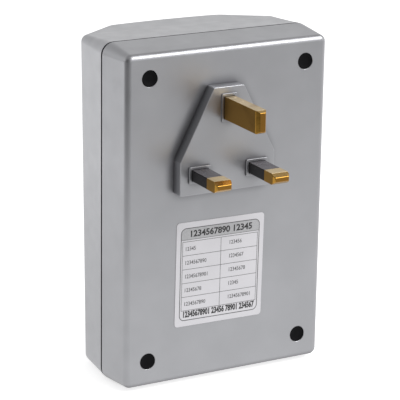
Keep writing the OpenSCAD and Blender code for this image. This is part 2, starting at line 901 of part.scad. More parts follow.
module fuse_clips() {
    clip_w = 4;
    leaf_t = 0.5;
    color([0.80, 0.72, 0.50]) {
        at_board(fuse_at)
            for (end = [-1, 1]) {
                block(0, end * clip_pitch / 2, fuse_d + 2 * leaf_t, clip_w, board_y + leaf_t, board_y);
                for (side = [-1, 1])
                    block(side * (fuse_d + leaf_t) / 2, end * clip_pitch / 2, leaf_t, clip_w,
                          fuse_y + fuse_d / 3, board_y);
                block(0, end * clip_pitch / 2, 1.6, clip_w, fuse_y - fuse_d / 2, board_y);
            }
        board_leads(clip_leads, board_y + 0.2);
    }
}

// A part with a round body that lies on the board, with two bent leads
module axial_part(at, leads, along, d, length) {
    body_y = board_y + body_lift + d / 2;
    at_board(at)
        translate([0, body_y, 0])
            rotate(along == UP ? [0, 0, 0] : [0, 90, 0]) {
                cylinder(h = length, d = d, center = true);
                cylinder(h = norm(leads[1] - leads[0]) + lead_d, d = lead_d, center = true);
            }
    board_leads(leads, body_y);
}

module rectifier_diodes() {
    color([0.10, 0.10, 0.11])
        for (k = [0:diode_rows - 1])
            axial_part(diode_place(k), diode_leads(k), ACROSS, diode_d, diode_len);
}

module smoothing_capacitor() {
    color([0.10, 0.13, 0.30]) {
        at_board(smoothing_at)
            rod(0, 0, board_y + smoothing_h, board_y, smoothing_d);
        board_leads(smoothing_leads);
    }
}

module bleed_resistor() {
    color([0.35, 0.52, 0.62])
        axial_part(bleed_at, bleed_leads, UP, bleed_d, bleed_len);
}

module led_resistors() {
    color([0.78, 0.66, 0.48])
        for (k = [0, 1])
            axial_part(resistor_place(k), resistor_leads(k), ACROSS, resistor_d, resistor_len);
}

// ---- Indicators, on the front side of the board, behind the window ----
led_rim_h = 1;
led_barrel = 3.2;
led_gap = 1.6;
led_lead_d = 0.5;
led_rim_margin = 0.4;
led_tip_y = front_face_y(window_z) - crown - window_seat + led_gap;
led_rim_y = led_tip_y + led_d / 2 + led_barrel;

module indicator(side) {
    color([0.25, 0.85, 0.35]) {
        at_board(led_place(side)) {
            rod(0, 0, led_rim_y, led_rim_y - led_rim_h,
                led_d + 2 * led_rim_margin);
            rod(0, 0, led_rim_y, led_tip_y + led_d / 2, led_d);
            translate([0, led_tip_y + led_d / 2, 0])
                sphere(d = led_d);
        }
        for (at = led_leads(side))
            at_board(at)
                rod(0, 0, board_y + lead_stub, led_rim_y - eps, led_lead_d);
    }
}

module led_left() {
    indicator(-1);
}

module led_right() {
    indicator(1);
}

module led_spacers() {
    color([0.12, 0.12, 0.13])
        for (side = [-1, 1])
            difference() {
                at_board(led_place(side))
                    rod(0, 0, board_front_y, led_rim_y, led_d + led_rim_margin);
                for (at = led_leads(side))
                    at_board(at)
                        rod(0, 0, board_front_y + overcut, led_rim_y - overcut,
                            led_lead_d + 2 * fit_gap);
            }
}

// ---- Power capacitor and its fixing ----
module power_capacitor() {
    color([0.13, 0.13, 0.14])
        block(case_x, cap_mid_z, cap_w, cap_z, cap_back_y, cap_front_y);
}

module capacitor_pad() {
    color([0.86, 0.86, 0.82])
        block(case_x, cap_mid_z, cap_w - 2 * pad_inset, cap_z - 2 * pad_inset, inner_back_y,
              cap_back_y);
}

module capacitor_strap() {
    half = cap_w / 2 + rib_gap;
    foot_y = inner_back_y - strap_boss_h;
    color([0.72, 0.73, 0.75])
        difference() {
            union() {
                block(case_x, cap_mid_z, 2 * half + 2 * strap_t, strap_w, cap_front_y,
                      cap_front_y - strap_t);
                for (side = [-1, 1]) {
                    block(case_x + side * (half + strap_t / 2), cap_mid_z, strap_t, strap_w,
                          foot_y, cap_front_y - eps);
                    block(case_x + side * (half + strap_foot / 2), cap_mid_z, strap_foot, strap_w,
                          foot_y, foot_y - strap_t);
                }
            }
            for (side = [-1, 1])
                rod(case_x + side * strap_screw_x, cap_mid_z, foot_y + overcut,
                    foot_y - strap_t - overcut,
                    board_screw_d + screw_hole_gap);
        }
}

module strap_screws() {
    head_y = inner_back_y - strap_boss_h - strap_t;
    color([0.62, 0.63, 0.65])
        for (side = [-1, 1])
            small_screw(case_x + side * strap_screw_x, cap_mid_z, head_y,
                        head_y + strap_t + strap_screw_len);
}

// ---- Wires ----
// A smooth curve through hand-chosen points, with steps along each stretch
function curve_point(p, i, t) =
    let (
        a = p[max(i - 1, 0)],
        b = p[i],
        c = p[i + 1],
        d = p[min(i + 2, len(p) - 1)]
    )
    0.5 * (2 * b + (c - a) * t + (2 * a - 5 * b + 4 * c - d) * t * t
           + (3 * b - a - 3 * c + d) * t * t * t);
function curve(p, steps) = concat(
    [for (i = [0:len(p) - 2], k = [0:steps - 1]) curve_point(p, i, k / steps)],
    [p[len(p) - 1]]
);

// A wire of round section along a smooth curve through points. It leaves along first, arrives
// along last, and across is any direction that the wire never runs along.
module wire(points, first, last, across, d = wire_d, sides = 8) {
    route = curve(points, 6);
    n = len(route);
    function heading(i) = i == 0 ? first
                        : i == n - 1 ? last
                        : (route[i + 1] - route[i - 1]) / norm(route[i + 1] - route[i - 1]);
    function side_of(i) = let (v = cross(heading(i), across)) v / norm(v);
    rings = [for (i = [0:n - 1])
        let (u = side_of(i), v = cross(heading(i), u))
        [for (k = [0:sides - 1])
            route[i] + d / 2 * (cos(360 * k / sides) * u + sin(360 * k / sides) * v)]];
    polyhedron(
        points = [for (r = rings) each r],
        faces = concat(
            [[for (k = [0:sides - 1]) k]],
            [for (i = [0:n - 2], k = [0:sides - 1])
                [i * sides + k, (i + 1) * sides + k, (i + 1) * sides + (k + 1) % sides,
                 i * sides + (k + 1) % sides]],
            [[for (k = [sides - 1:-1:0]) (n - 1) * sides + k]]
        )
    );
}

FORWARD = [0, -1, 0];

// Point just above a solder pad on the back of the board
function pad_point(at, lift) = [case_x + at[0], board_y + lift, board_z + at[1]];

// Wire from a pin's solder tail to a pad on the board, by way of one middle point
module pin_wire(start, middle, at, across) {
    wire([start, start + 3 * FORWARD, middle, pad_point(at, 4), pad_point(at, 0)],
         FORWARD, FORWARD, across);
}

module live_wire() {
    color([0.45, 0.24, 0.12])
        pin_wire([live_x, tail_end_y, 0], [live_x + 7, tail_end_y - 8, 8], live_pad_at,
                 [0.7, 0, -0.7]);
}

module neutral_wire() {
    color([0.12, 0.25, 0.65])
        pin_wire([-live_x, tail_end_y, 0], [-live_x - 13, tail_end_y - 6, -7], neutral_pad_at,
                 [0.5, 0, -0.85]);
}

module earth_wire() {
    color([0.35, 0.65, 0.20])
        pin_wire([0, tail_end_y, earth_pin_rise], [7, tail_end_y - 7, earth_pin_rise - 5],
                 earth_pad_at, [0.7, 0, 0.7]);
}

// Wire from the top of the power capacitor to a pad on the board
module capacitor_wire(x, at) {
    start = [x, cap_front_y + 5, cap_mid_z + cap_z / 2];
    over = start + [0, -4, 6];
    wire([start, start + [0, 0, 2.5], over, pad_point(at, 4), pad_point(at, 0)],
         [0, 0, 1], FORWARD, [1, 0, 0]);
}

module capacitor_live_wire() {
    color([0.62, 0.12, 0.10])
        capacitor_wire(case_x + 20, cap_live_pad_at);
}

module capacitor_neutral_wire() {
    color([0.62, 0.12, 0.10])
        capacitor_wire(case_x - 20, cap_neutral_pad_at);
}

rear_shell();
front_shell();
front_window();
rating_label();
case_screws();
screw_caps();
earth_pin();
live_pin();
neutral_pin();
live_sleeve();
neutral_sleeve();
pin_carrier();
carrier_screws();
main_board();
board_screws();
power_capacitor();
capacitor_pad();
capacitor_strap();
strap_screws();
suppressor_capacitor();
varistor_live_neutral();
varistor_live_earth();
varistor_neutral_earth();
fuse_tube();
fuse_end_caps();
fuse_wire();
fuse_clips();
rectifier_diodes();
smoothing_capacitor();
bleed_resistor();
led_resistors();
led_left();
led_right();
led_spacers();
live_wire();
neutral_wire();
earth_wire();
capacitor_live_wire();
capacitor_neutral_wire();
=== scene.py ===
"""Looks of a plug-in mains box: two silver half shells on a three-pin plug.

Everything is in metres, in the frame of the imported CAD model: +Z up, pins along +Y, origin on
the plug face midway between the live and neutral pins.
"""
import math

import bmesh
import bpy
from mathutils import Matrix, Vector


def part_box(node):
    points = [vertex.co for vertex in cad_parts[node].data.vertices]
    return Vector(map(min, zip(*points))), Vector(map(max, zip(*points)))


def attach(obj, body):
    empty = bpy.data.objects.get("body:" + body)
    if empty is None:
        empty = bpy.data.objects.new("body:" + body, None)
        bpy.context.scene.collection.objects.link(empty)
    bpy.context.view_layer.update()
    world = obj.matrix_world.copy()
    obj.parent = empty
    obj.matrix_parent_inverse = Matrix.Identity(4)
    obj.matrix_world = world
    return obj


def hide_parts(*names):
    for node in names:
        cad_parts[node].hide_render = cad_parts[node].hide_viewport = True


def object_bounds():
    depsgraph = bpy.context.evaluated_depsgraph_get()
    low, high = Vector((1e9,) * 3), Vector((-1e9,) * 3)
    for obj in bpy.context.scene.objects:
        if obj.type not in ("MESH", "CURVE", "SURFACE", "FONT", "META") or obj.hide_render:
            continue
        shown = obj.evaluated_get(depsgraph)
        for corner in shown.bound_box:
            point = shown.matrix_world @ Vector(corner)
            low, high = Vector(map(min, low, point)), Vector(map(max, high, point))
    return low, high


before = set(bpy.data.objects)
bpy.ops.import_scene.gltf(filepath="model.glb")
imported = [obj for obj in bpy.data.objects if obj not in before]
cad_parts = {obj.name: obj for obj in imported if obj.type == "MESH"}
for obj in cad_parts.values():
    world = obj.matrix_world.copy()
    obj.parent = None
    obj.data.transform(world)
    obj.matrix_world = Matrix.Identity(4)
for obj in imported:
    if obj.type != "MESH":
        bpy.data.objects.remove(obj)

CAD_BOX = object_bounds()
MM = 0.001

# ---- Sizes read from the CAD ----
REAR_LOW, REAR_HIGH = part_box("rear_shell")
CASE_X = (REAR_LOW.x + REAR_HIGH.x) / 2
SEAM_HALF = (REAR_HIGH.x - REAR_LOW.x) / 2
CASE_TOP = REAR_HIGH.z
CASE_BOTTOM = REAR_LOW.z
SEAM_Y = REAR_LOW.y
FRONT_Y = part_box("front_shell")[0].y

# ---- Sizes that the CAD's source also states ----
PAD_H = 4.6 * MM
WALL = 2.2 * MM
REAR_DEPTH = -PAD_H - SEAM_Y
BACK_Y = -PAD_H
INNER_BACK_Y = BACK_Y - WALL
REAR_DRAFT = math.tan(math.radians(5.9))
SIDE_DRAFT = math.tan(math.radians(4.5))
REAR_EDGE_R = 2.2 * MM
CORNER_R = 4.4 * MM
SIDE_DEPTH_TOP = 21 * MM
SIDE_DEPTH_BOTTOM = 17.5 * MM
FACET_W = 16.7 * MM
FACET_DEPTH = 11.7 * MM
CROWN = 1.1 * MM
LIP_H = 2.4 * MM
LIP_GAP = 0.15 * MM
COLLAR_W = 1.0 * MM
COLLAR_H = 0.8 * MM
EARTH_COLLAR_H = 0.4 * MM
FIT_GAP = 0.1 * MM
FLANGE_Y = -2.2 * MM

# ---- Sizes that only the visual meshes have, or that differ from the CAD's ----
# The front shell's ends drop by END_SLOPE times the depth, less END_CURVE times its square
END_SLOPE = 0.086
END_CURVE = 0.00095 / MM
# The rear shell's corner radius loses CORNER_TAPER times the draft
CORNER_TAPER = 1.3
CORNER_MIN = 0.3 * MM
FRONT_EDGE_R = 1.6 * MM
FRONT_EDGE_MIN = 0.5 * MM
GROOVE_W = 1.1 * MM
GROOVE_D = 1.3 * MM
GROOVE_TOP_D = 0.4 * MM
PAD_CORNER_R = 0.9 * MM
PAD_EDGE_R = 0.35 * MM
COLLAR_CORNER_R = 0.5 * MM
COLLAR_EDGE_R = 0.2 * MM
# How far one shape runs into another that it joins or cuts
OVERLAP = 0.05 * MM

# ---- Steps in the round stretches, and how near two points count as one ----
CORNER_STEPS = 10
EDGE_STEPS = 10
CROWN_STEPS = 12
SIDE_STEPS = 6
ROUND_STEPS = 64
WELD = 0.004 * MM


# =====================================================================
# Mesh helpers
# =====================================================================
def link(obj):
    bpy.context.scene.collection.objects.link(obj)
    return obj


def mesh_object(name, points, faces):
    mesh = bpy.data.meshes.new(name)
    mesh.from_pydata([tuple(p) for p in points], [], faces)
    bm = bmesh.new()
    bm.from_mesh(mesh)
    bmesh.ops.recalc_face_normals(bm, faces=bm.faces)
    bm.to_mesh(mesh)
    bm.free()
    return link(bpy.data.objects.new(name, mesh))


def loft(name, rings):
    """A closed solid through rings that all have the same number of points."""
    count = len(rings[0])
    points = [p for ring in rings for p in ring]
    faces = [list(range(count)), list(range(len(points) - count, len(points)))]
    for k in range(len(rings) - 1):
        for i in range(count):
            j = (i + 1) % count
            faces.append([k * count + i, k * count + j, (k + 1) * count + j, (k + 1) * count + i])
    return mesh_object(name, points, faces)


def band(name, points):
    """A closed band through four equal outlines: outer low and high, then inner low and high."""
    count = len(points) // 4
    faces = []
    for a, b in ((0, 1), (1, 3), (3, 2), (2, 0)):
        for i in range(count):
            j = (i + 1) % count
            faces.append([a * count + i, a * count + j, b * count + j, b * count + i])
    return mesh_object(name, points, faces)


def frame_ring(name, outer, inner, y_from, y_to):
    """A closed band between two outlines, from y_from to y_to."""
    return band(name, [Vector((p.x, y, p.z)) for outline in (outer, inner)
                       for y in (y_from, y_to) for p in outline])


def bake(obj):
    """Applies every modifier on a piece."""
    depsgraph = bpy.context.evaluated_depsgraph_get()
    mesh = bpy.data.meshes.new_from_object(obj.evaluated_get(depsgraph))
    obj.modifiers.clear()
    old = obj.data
    obj.data = mesh
    bpy.data.meshes.remove(old)


def weld(mesh):
    """Joins points that lie closer together than any real detail, and drops slivers."""
    bm = bmesh.new()
    bm.from_mesh(mesh)
    bmesh.ops.remove_doubles(bm, verts=bm.verts, dist=WELD)
    bmesh.ops.dissolve_degenerate(bm, edges=bm.edges, dist=WELD)
    bm.to_mesh(mesh)
    bm.free()


def combine(obj, others, operation):
    """Joins, cuts or intersects a piece with others, which are used up."""
    group = bpy.data.collections.new("tools")
    bpy.context.scene.collection.children.link(group)
    for other in others:
        group.objects.link(other)
    modifier = obj.modifiers.new("combine", "BOOLEAN")
    modifier.solver = "EXACT"
    modifier.operand_type = "COLLECTION"
    modifier.collection = group
    modifier.operation = operation
    bake(obj)
    weld(obj.data)
    for other in others:
        bpy.data.objects.remove(other)
    bpy.data.collections.remove(group)
    return obj


def merged(name, objects):
    """One object out of several, as they are."""
    bm = bmesh.new()
    for obj in objects:
        bm.from_mesh(obj.data)
    mesh = bpy.data.meshes.new(name)
    bm.to_mesh(mesh)
    bm.free()
    for obj in objects:
        bpy.data.objects.remove(obj)
    return link(bpy.data.objects.new(name, mesh))


def box(name, low, high):
    points = [Vector((x, y, z)) for x in (low[0], high[0])
              for y in (low[1], high[1]) for z in (low[2], high[2])]
    faces = [[0, 1, 3, 2], [4, 6, 7, 5], [0, 4, 5, 1], [2, 3, 7, 6], [0, 2, 6, 4], [1, 5, 7, 3]]
    return mesh_object(name, points, faces)


def circle(x, z, y, radius, steps=ROUND_STEPS):
    return [Vector((x + radius * math.cos(2 * math.pi * k / steps), y,
                    z + radius * math.sin(2 * math.pi * k / steps))) for k in range(steps)]


def turned(name, x, z, profile, steps=ROUND_STEPS):
    """A solid turned about an axis along Y, through (y, radius) pairs."""
    return loft(name, [circle(x, z, y, radius, steps) for y, radius in profile])


def rod(name, x, z, y_from, y_to, radius, steps=ROUND_STEPS):
    return turned(name, x, z, [(y_from, radius), (y_to, radius)], steps)


def bevelled(obj, width, segments=2, angle=30):
    modifier = obj.modifiers.new("edges", "BEVEL")
    modifier.width = width
    modifier.segments = segments
    modifier.limit_method = "ANGLE"
    modifier.angle_limit = math.radians(angle)
    modifier.miter_outer = "MITER_ARC"
    bake(obj)
    return obj


def smooth(obj, angle=32):
    """Smooth shading that keeps flats flat and creases sharp."""
    mesh = obj.data
    mesh.polygons.foreach_set("use_smooth", [True] * len(mesh.polygons))
    mesh.set_sharp_from_angle(angle=math.radians(angle))
    weighted = obj.modifiers.new("flat faces", "WEIGHTED_NORMAL")
    weighted.keep_sharp = True
    weighted.weight = 100
    return obj


def place(obj, slot, material, *nodes):
    """Finishes a piece: its material, the CAD nodes that it stands for, and its body. The argument slot
    is not used.
    """
    obj.data.materials.clear()
    obj.data.materials.append(material)
    if nodes:
        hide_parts(*nodes)
    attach(obj, "root")
    return obj


# =====================================================================
# Materials
# =====================================================================
class Shader:
    """A small builder for a Principled material with procedural detail."""

    def __init__(self, name, color, roughness, metallic=0.0):
        self.material = bpy.data.materials.new(name)
        self.material.use_nodes = True
        self.tree = self.material.node_tree
        self.shader = self.tree.nodes["Principled BSDF"]
        self.color = color
        self.roughness = roughness
        self.shader.inputs["Metallic"].default_value = metallic
        self.shader.inputs["Base Color"].default_value = (*color, 1)
        self.shader.inputs["Roughness"].default_value = roughness
        self.place = self.add("ShaderNodeTexCoord").outputs["Object"]
        self.height = None

    def add(self, kind, **values):
        node = self.tree.nodes.new(kind)
        for name, value in values.items():
            setattr(node, name, value)
        return node

    def wire(self, source, target):
        self.tree.links.new(source, target)

    def set(self, **values):
        for name, value in values.items():
            self.shader.inputs[name.replace("_", " ")].default_value = value
        return self

    def noise(self, size, detail=3.0, stretch=(1, 1, 1), distortion=0.0):
        """Noise with features about size metres across, stretched along an axis."""
        mapping = self.add("ShaderNodeMapping")
        mapping.inputs["Scale"].default_value = [s / size for s in stretch]
        self.wire(self.place, mapping.inputs["Vector"])
        noise = self.add("ShaderNodeTexNoise")
        noise.inputs["Scale"].default_value = 1.0
        noise.inputs["Detail"].default_value = detail
        noise.inputs["Distortion"].default_value = distortion
        self.wire(mapping.outputs["Vector"], noise.inputs["Vector"])
        return noise.outputs["Fac"]

    def spread(self, source, low, high, from_low=0.3, from_high=0.7):
        node = self.add("ShaderNodeMapRange")
        node.inputs["From Min"].default_value = from_low
        node.inputs["From Max"].default_value = from_high
        node.inputs["To Min"].default_value = low
        node.inputs["To Max"].default_value = high
        self.wire(source, node.inputs["Value"])
        return node.outputs["Result"]

    def tint(self, source, other, low=0.3, high=0.7):
        """Mixes the colour so far towards another by a factor."""
        mix = self.add("ShaderNodeMix", data_type="RGBA")
        target = self.shader.inputs["Base Color"]
        if target.links:
            self.wire(target.links[0].from_socket, mix.inputs["A"])
        else:
            mix.inputs["A"].default_value = target.default_value
        mix.inputs["B"].default_value = (*other, 1)
        self.wire(self.spread(source, 0.0, 1.0, low, high), mix.inputs["Factor"])
        self.wire(mix.outputs["Result"], target)
        return self

    def vary(self, amount, size, detail=3.0, stretch=(1, 1, 1)):
        """Lightens and darkens the colour by amount, in patches of a size."""
        darker = [c * (1 - amount) for c in self.color]
        lighter = [min(1.0, c * (1 + amount)) for c in self.color]
        ramp = self.add("ShaderNodeMix", data_type="RGBA")
        ramp.inputs["A"].default_value = (*darker, 1)
        ramp.inputs["B"].default_value = (*lighter, 1)
        source = self.noise(size, detail, stretch)
        self.wire(self.spread(source, 0.0, 1.0), ramp.inputs["Factor"])
        self.wire(ramp.outputs["Result"], self.shader.inputs["Base Color"])
        return self

    def rough(self, amount, size, detail=4.0, stretch=(1, 1, 1)):
        low = max(0.02, self.roughness - amount)
        source = self.noise(size, detail, stretch, 0.4)
        self.wire(self.spread(source, low, self.roughness + amount), self.shader.inputs["Roughness"])
        return self

    def bump(self, depth, size, detail=3.0, stretch=(1, 1, 1), source=None):
        node = self.add("ShaderNodeBump")
        node.inputs["Strength"].default_value = 1.0
        node.inputs["Distance"].default_value = depth
        self.wire(source or self.noise(size, detail, stretch), node.inputs["Height"])
        if self.height:
            self.wire(self.height, node.inputs["Normal"])
        self.height = node.outputs["Normal"]
        self.wire(self.height, self.shader.inputs["Normal"])
        return self

    def edge_wear(self, other, low=0.53, high=0.62):
        """Rubs the convex edges towards another colour."""
        geometry = self.add("ShaderNodeNewGeometry")
        return self.tint(geometry.outputs["Pointiness"], other, low, high)

    def painted_corner_shade(self, other, reach, closed, open_sky):
        """Painted shade: darkens the colour in corners and gaps narrower than about reach, from
        none where the share of open sky is open_sky to all where it is closed."""
        crevice = self.add("ShaderNodeAmbientOcclusion")
        crevice.inputs["Distance"].default_value = reach
        hidden = self.spread(crevice.outputs["AO"], 1.0, 0.0, closed, open_sky)
        return self.tint(hidden, other, 0.0, 1.0)

    def facing(self, axis):
        """How squarely the surface faces along an axis, either way."""
        split = self.add("ShaderNodeSeparateXYZ")
        self.wire(self.add("ShaderNodeTexCoord").outputs["Normal"], split.inputs["Vector"])
        size = self.add("ShaderNodeMath", operation="ABSOLUTE")
        self.wire(split.outputs[axis], size.inputs[0])
        return size.outputs["Value"]


def silver_paint():
    s = Shader("silver_paint", (0.43, 0.433, 0.452), 0.34, 0.8)
    s.vary(0.03, 14 * MM, 2.0).rough(0.04, 5 * MM)
    s.bump(0.006 * MM, 0.35 * MM, 2.0).bump(0.01 * MM, 2.4 * MM, 1.0)
    # Painted shade: a wide, soft darkening in inside corners, such as beside the pad's walls and the
    # collars
    s.painted_corner_shade((0.15, 0.148, 0.16), 4 * MM, 0.35, 0.97)
    # Painted shade: near black in narrow gaps, such as the seam groove and the pin slots
    return s.painted_corner_shade((0.008, 0.008, 0.009), 1.2 * MM, 0.42, 0.53).material


def pin_brass():
    s = Shader("pin_brass", (0.50, 0.27, 0.05), 0.16, 1.0)
    s.vary(0.08, 6 * MM, 4.0, (1, 0.3, 1)).rough(0.05, 1.6 * MM, 5.0, (1, 0.15, 1))
    s.bump(0.004 * MM, 0.5 * MM, 3.0, (1, 0.05, 1))
    # Painted highlight: faces that look up or down are tinted pale
    s.tint(s.facing("Z"), (0.95, 0.72, 0.38), 0.75, 0.97)
    # Painted shade: faces that look along the pins, such as the tip's end, are tinted dark
    s.tint(s.facing("Y"), (0.30, 0.15, 0.03), 0.8, 0.97)
    return s.tint(s.noise(9 * MM, 5.0), (0.36, 0.18, 0.04), 0.58, 0.8).material


def plastic(name, color, roughness, grain, patch, amount, gloss=0.5):
    """Moulded or dipped plastic: grain in millimetres, colour patches of a size and an amount."""
    s = Shader(name, color, roughness).set(Specular_IOR_Level=gloss)
    s.vary(amount, patch).rough(0.06, 3 * MM)
    return s.bump(grain * MM, 0.4 * MM).material


def plated(name, color, roughness, stretch=(1, 1, 1)):
    s = Shader(name, color, roughness, 1.0)
    s.vary(0.08, 3 * MM, 3.0, stretch).rough(0.08, 1.2 * MM, 4.0, stretch)
    s.bump(0.004 * MM, 0.3 * MM, 2.0, stretch)
    return s.edge_wear([min(1.0, c * 1.2) for c in color]).material


def sleeve_nylon():
    """Glossy black, with a painted grey sheen on the broad faces that look up and down."""
    s = Shader("sleeve_black", (0.007, 0.005, 0.007), 0.22).set(Specular_IOR_Level=0.42)
    s.vary(0.15, 4 * MM).rough(0.06, 3 * MM).bump(0.006 * MM, 0.4 * MM)
    # Painted sheen: grey on the faces that look up or down
    return s.tint(s.facing("Z"), (0.085, 0.076, 0.087), 0.7, 0.95).material


def label_film():
    s = Shader("label_film", (0.71, 0.70, 0.73), 0.34)
    s.vary(0.02, 10 * MM, 2.0).rough(0.05, 4 * MM)
    s.bump(0.01 * MM, 1.5 * MM, 2.0)
    return s.set(Specular_IOR_Level=0.4).material


def ink(name, tone):
    s = Shader(name, (tone, tone, tone * 1.03), 0.45)
    return s.vary(0.12, 0.3 * MM, 4.0).rough(0.06, 1 * MM).material


def smoked_acrylic():
    s = Shader("smoked_acrylic", (0.34, 0.36, 0.40), 0.05)
    s.vary(0.04, 12 * MM).rough(0.02, 6 * MM).bump(0.001 * MM, 6 * MM)
    return s.set(Transmission_Weight=0.95, IOR=1.49).material


def clear_glass():
    s = Shader("fuse_glass", (0.92, 0.96, 0.97), 0.05)
    s.vary(0.02, 8 * MM).rough(0.02, 4 * MM)
    return s.set(Transmission_Weight=0.95, IOR=1.5).material


def led_epoxy():
    s = Shader("led_epoxy", (0.10, 0.62, 0.20), 0.12)
    s.vary(0.05, 3 * MM).rough(0.04, 2 * MM)
    return s.set(Transmission_Weight=0.55, IOR=1.5).material


def board_laminate():
    s = Shader("board_laminate", (0.46, 0.30, 0.12), 0.5)
    s.vary(0.10, 5 * MM, 5.0).rough(0.08, 2 * MM)
    s.tint(s.noise(0.9 * MM, 3.0, (1, 1, 0.15)), (0.34, 0.21, 0.08), 0.5, 0.8)
    return s.bump(0.02 * MM, 0.6 * MM, 3.0, (1, 1, 0.3)).material


SILVER = silver_paint()
BRASS = pin_brass()
STEEL = plated("screw_steel", (0.60, 0.61, 0.63), 0.28)
STRAP = plated("strap_steel", (0.56, 0.57, 0.59), 0.34, (0.1, 1, 1))
TIN = plated("tinned_metal", (0.72, 0.72, 0.70), 0.2)
CLIP = plated("clip_brass", (0.74, 0.62, 0.36), 0.28)
SLEEVE = sleeve_nylon()
CAP_BLACK = plastic("cap_black", (0.005, 0.005, 0.006), 0.6, 0.03, 2 * MM, 0.2, gloss=0.08)
CARRIER = plastic("carrier_black", (0.045, 0.045, 0.05), 0.5, 0.03, 6 * MM, 0.12)
BOX_BLACK = plastic("capacitor_black", (0.035, 0.035, 0.04), 0.3, 0.015, 9 * MM, 0.1)
FOAM = plastic("foam_white", (0.74, 0.74, 0.69), 0.85, 0.12, 2 * MM, 0.08)
YELLOW = plastic("capacitor_yellow", (0.78, 0.50, 0.06), 0.3, 0.015, 6 * MM, 0.06)
BLUE_DIP = plastic("varistor_blue", (0.03, 0.12, 0.42), 0.22, 0.03, 3 * MM, 0.1)
DIODE = plastic("diode_black", (0.03, 0.03, 0.034), 0.34, 0.01, 2 * MM, 0.1)
SLEEVE_BLUE = plastic("capacitor_sleeve", (0.03, 0.05, 0.17), 0.25, 0.006, 5 * MM, 0.08)
RESISTOR_BLUE = plastic("resistor_blue", (0.16, 0.32, 0.45), 0.4, 0.03, 2 * MM, 0.1)
RESISTOR_TAN = plastic("resistor_tan", (0.62, 0.44, 0.24), 0.4, 0.03, 2 * MM, 0.1)
WINDOW = smoked_acrylic()
GLASS = clear_glass()
LED = led_epoxy()
LAMINATE = board_laminate()
FILM = label_film()
INK_DARK = ink("ink_dark", 0.03)
INK_MID = ink("ink_mid", 0.13)
INK_BAND = ink("ink_band", 0.47)
WIRE_BROWN = plastic("wire_brown", (0.20, 0.085, 0.035), 0.38, 0.01, 5 * MM, 0.08)
WIRE_BLUE = plastic("wire_blue", (0.03, 0.10, 0.45), 0.38, 0.01, 5 * MM, 0.08)
WIRE_GREEN = plastic("wire_green", (0.12, 0.42, 0.06), 0.38, 0.01, 5 * MM, 0.08)
WIRE_RED = plastic("wire_red", (0.45, 0.035, 0.03), 0.38, 0.01, 5 * MM, 0.08)


# =====================================================================
# Outlines of the shells
# =====================================================================
def rounded_ring(half_w, bottom, top, radius, y, steps=CORNER_STEPS):
    points = []
    for corner in range(4):
        cx = (half_w - radius) * (1 if corner in (0, 3) else -1)
        cz = top - radius if corner < 2 else bottom + radius
        for k in range(steps + 1):
            a = math.radians(90 * (corner + k / steps))
            points.append(Vector((CASE_X + cx + radius * math.cos(a), y, cz + radius * math.sin(a))))
    return points


def rear_ring(depth, inset, y=None):
    """The rear shell's outline at a depth behind its back, moved inwards by inset."""
    draft = REAR_DRAFT * (REAR_DEPTH - depth)
    radius = max(CORNER_R - CORNER_TAPER * draft - inset, CORNER_MIN)
    inset += draft
    return rounded_ring(SEAM_HALF - inset, CASE_BOTTOM + inset, CASE_TOP - inset, radius,
                        BACK_Y - depth if y is None else y)


def bend(before, corner, after, cut, steps):
    """Points of a smooth turn that leaves each straight at a distance cut from the corner."""
    start = corner + (before - corner).normalized() * cut
    end = corner + (after - corner).normalized() * cut
    return [start.lerp(corner, k / steps).lerp(corner.lerp(end, k / steps), k / steps)
            for k in range(steps + 1)]


def front_profile(side_depth, inset, start):
    """The front shell's outline from above, from one side of the seam round to the other.

    Points are (x from the middle, depth in front of the seam)."""
    facet = math.hypot(FACET_W, FACET_DEPTH)
    side_half = SEAM_HALF - SIDE_DRAFT * SIDE_DEPTH_TOP
    in_y = inset * (1 - FACET_DEPTH / facet) / (FACET_W / facet)
    in_x = inset * (1 - FACET_W / facet) / (FACET_DEPTH / facet)
    centre_half = side_half - FACET_W - in_x
    face = side_depth + FACET_DEPTH - inset

    def crown(x):
        return Vector((x, face + CROWN * (1 - (x / centre_half) ** 2)))

    seam = Vector((SEAM_HALF - inset, start))
    side = Vector((side_half - inset, side_depth - in_y))
    edge = Vector((centre_half, face))
    soft = 2 * MM
    side_turn = bend(seam, side, edge, soft, 6)
    edge_turn = bend(side, edge, crown(centre_half - soft), soft, 6)
    half = [seam.lerp(side_turn[0], k / SIDE_STEPS) for k in range(SIDE_STEPS)] + side_turn
    half += [side_turn[-1].lerp(edge_turn[0], k / SIDE_STEPS) for k in range(1, SIDE_STEPS)]
    half += edge_turn
    half += [crown((centre_half - soft) * (1 - k / CROWN_STEPS)) for k in range(1, CROWN_STEPS)]
    middle = [crown(0.0)]
    return half + middle + [Vector((-p.x, p.y)) for p in reversed(half)]


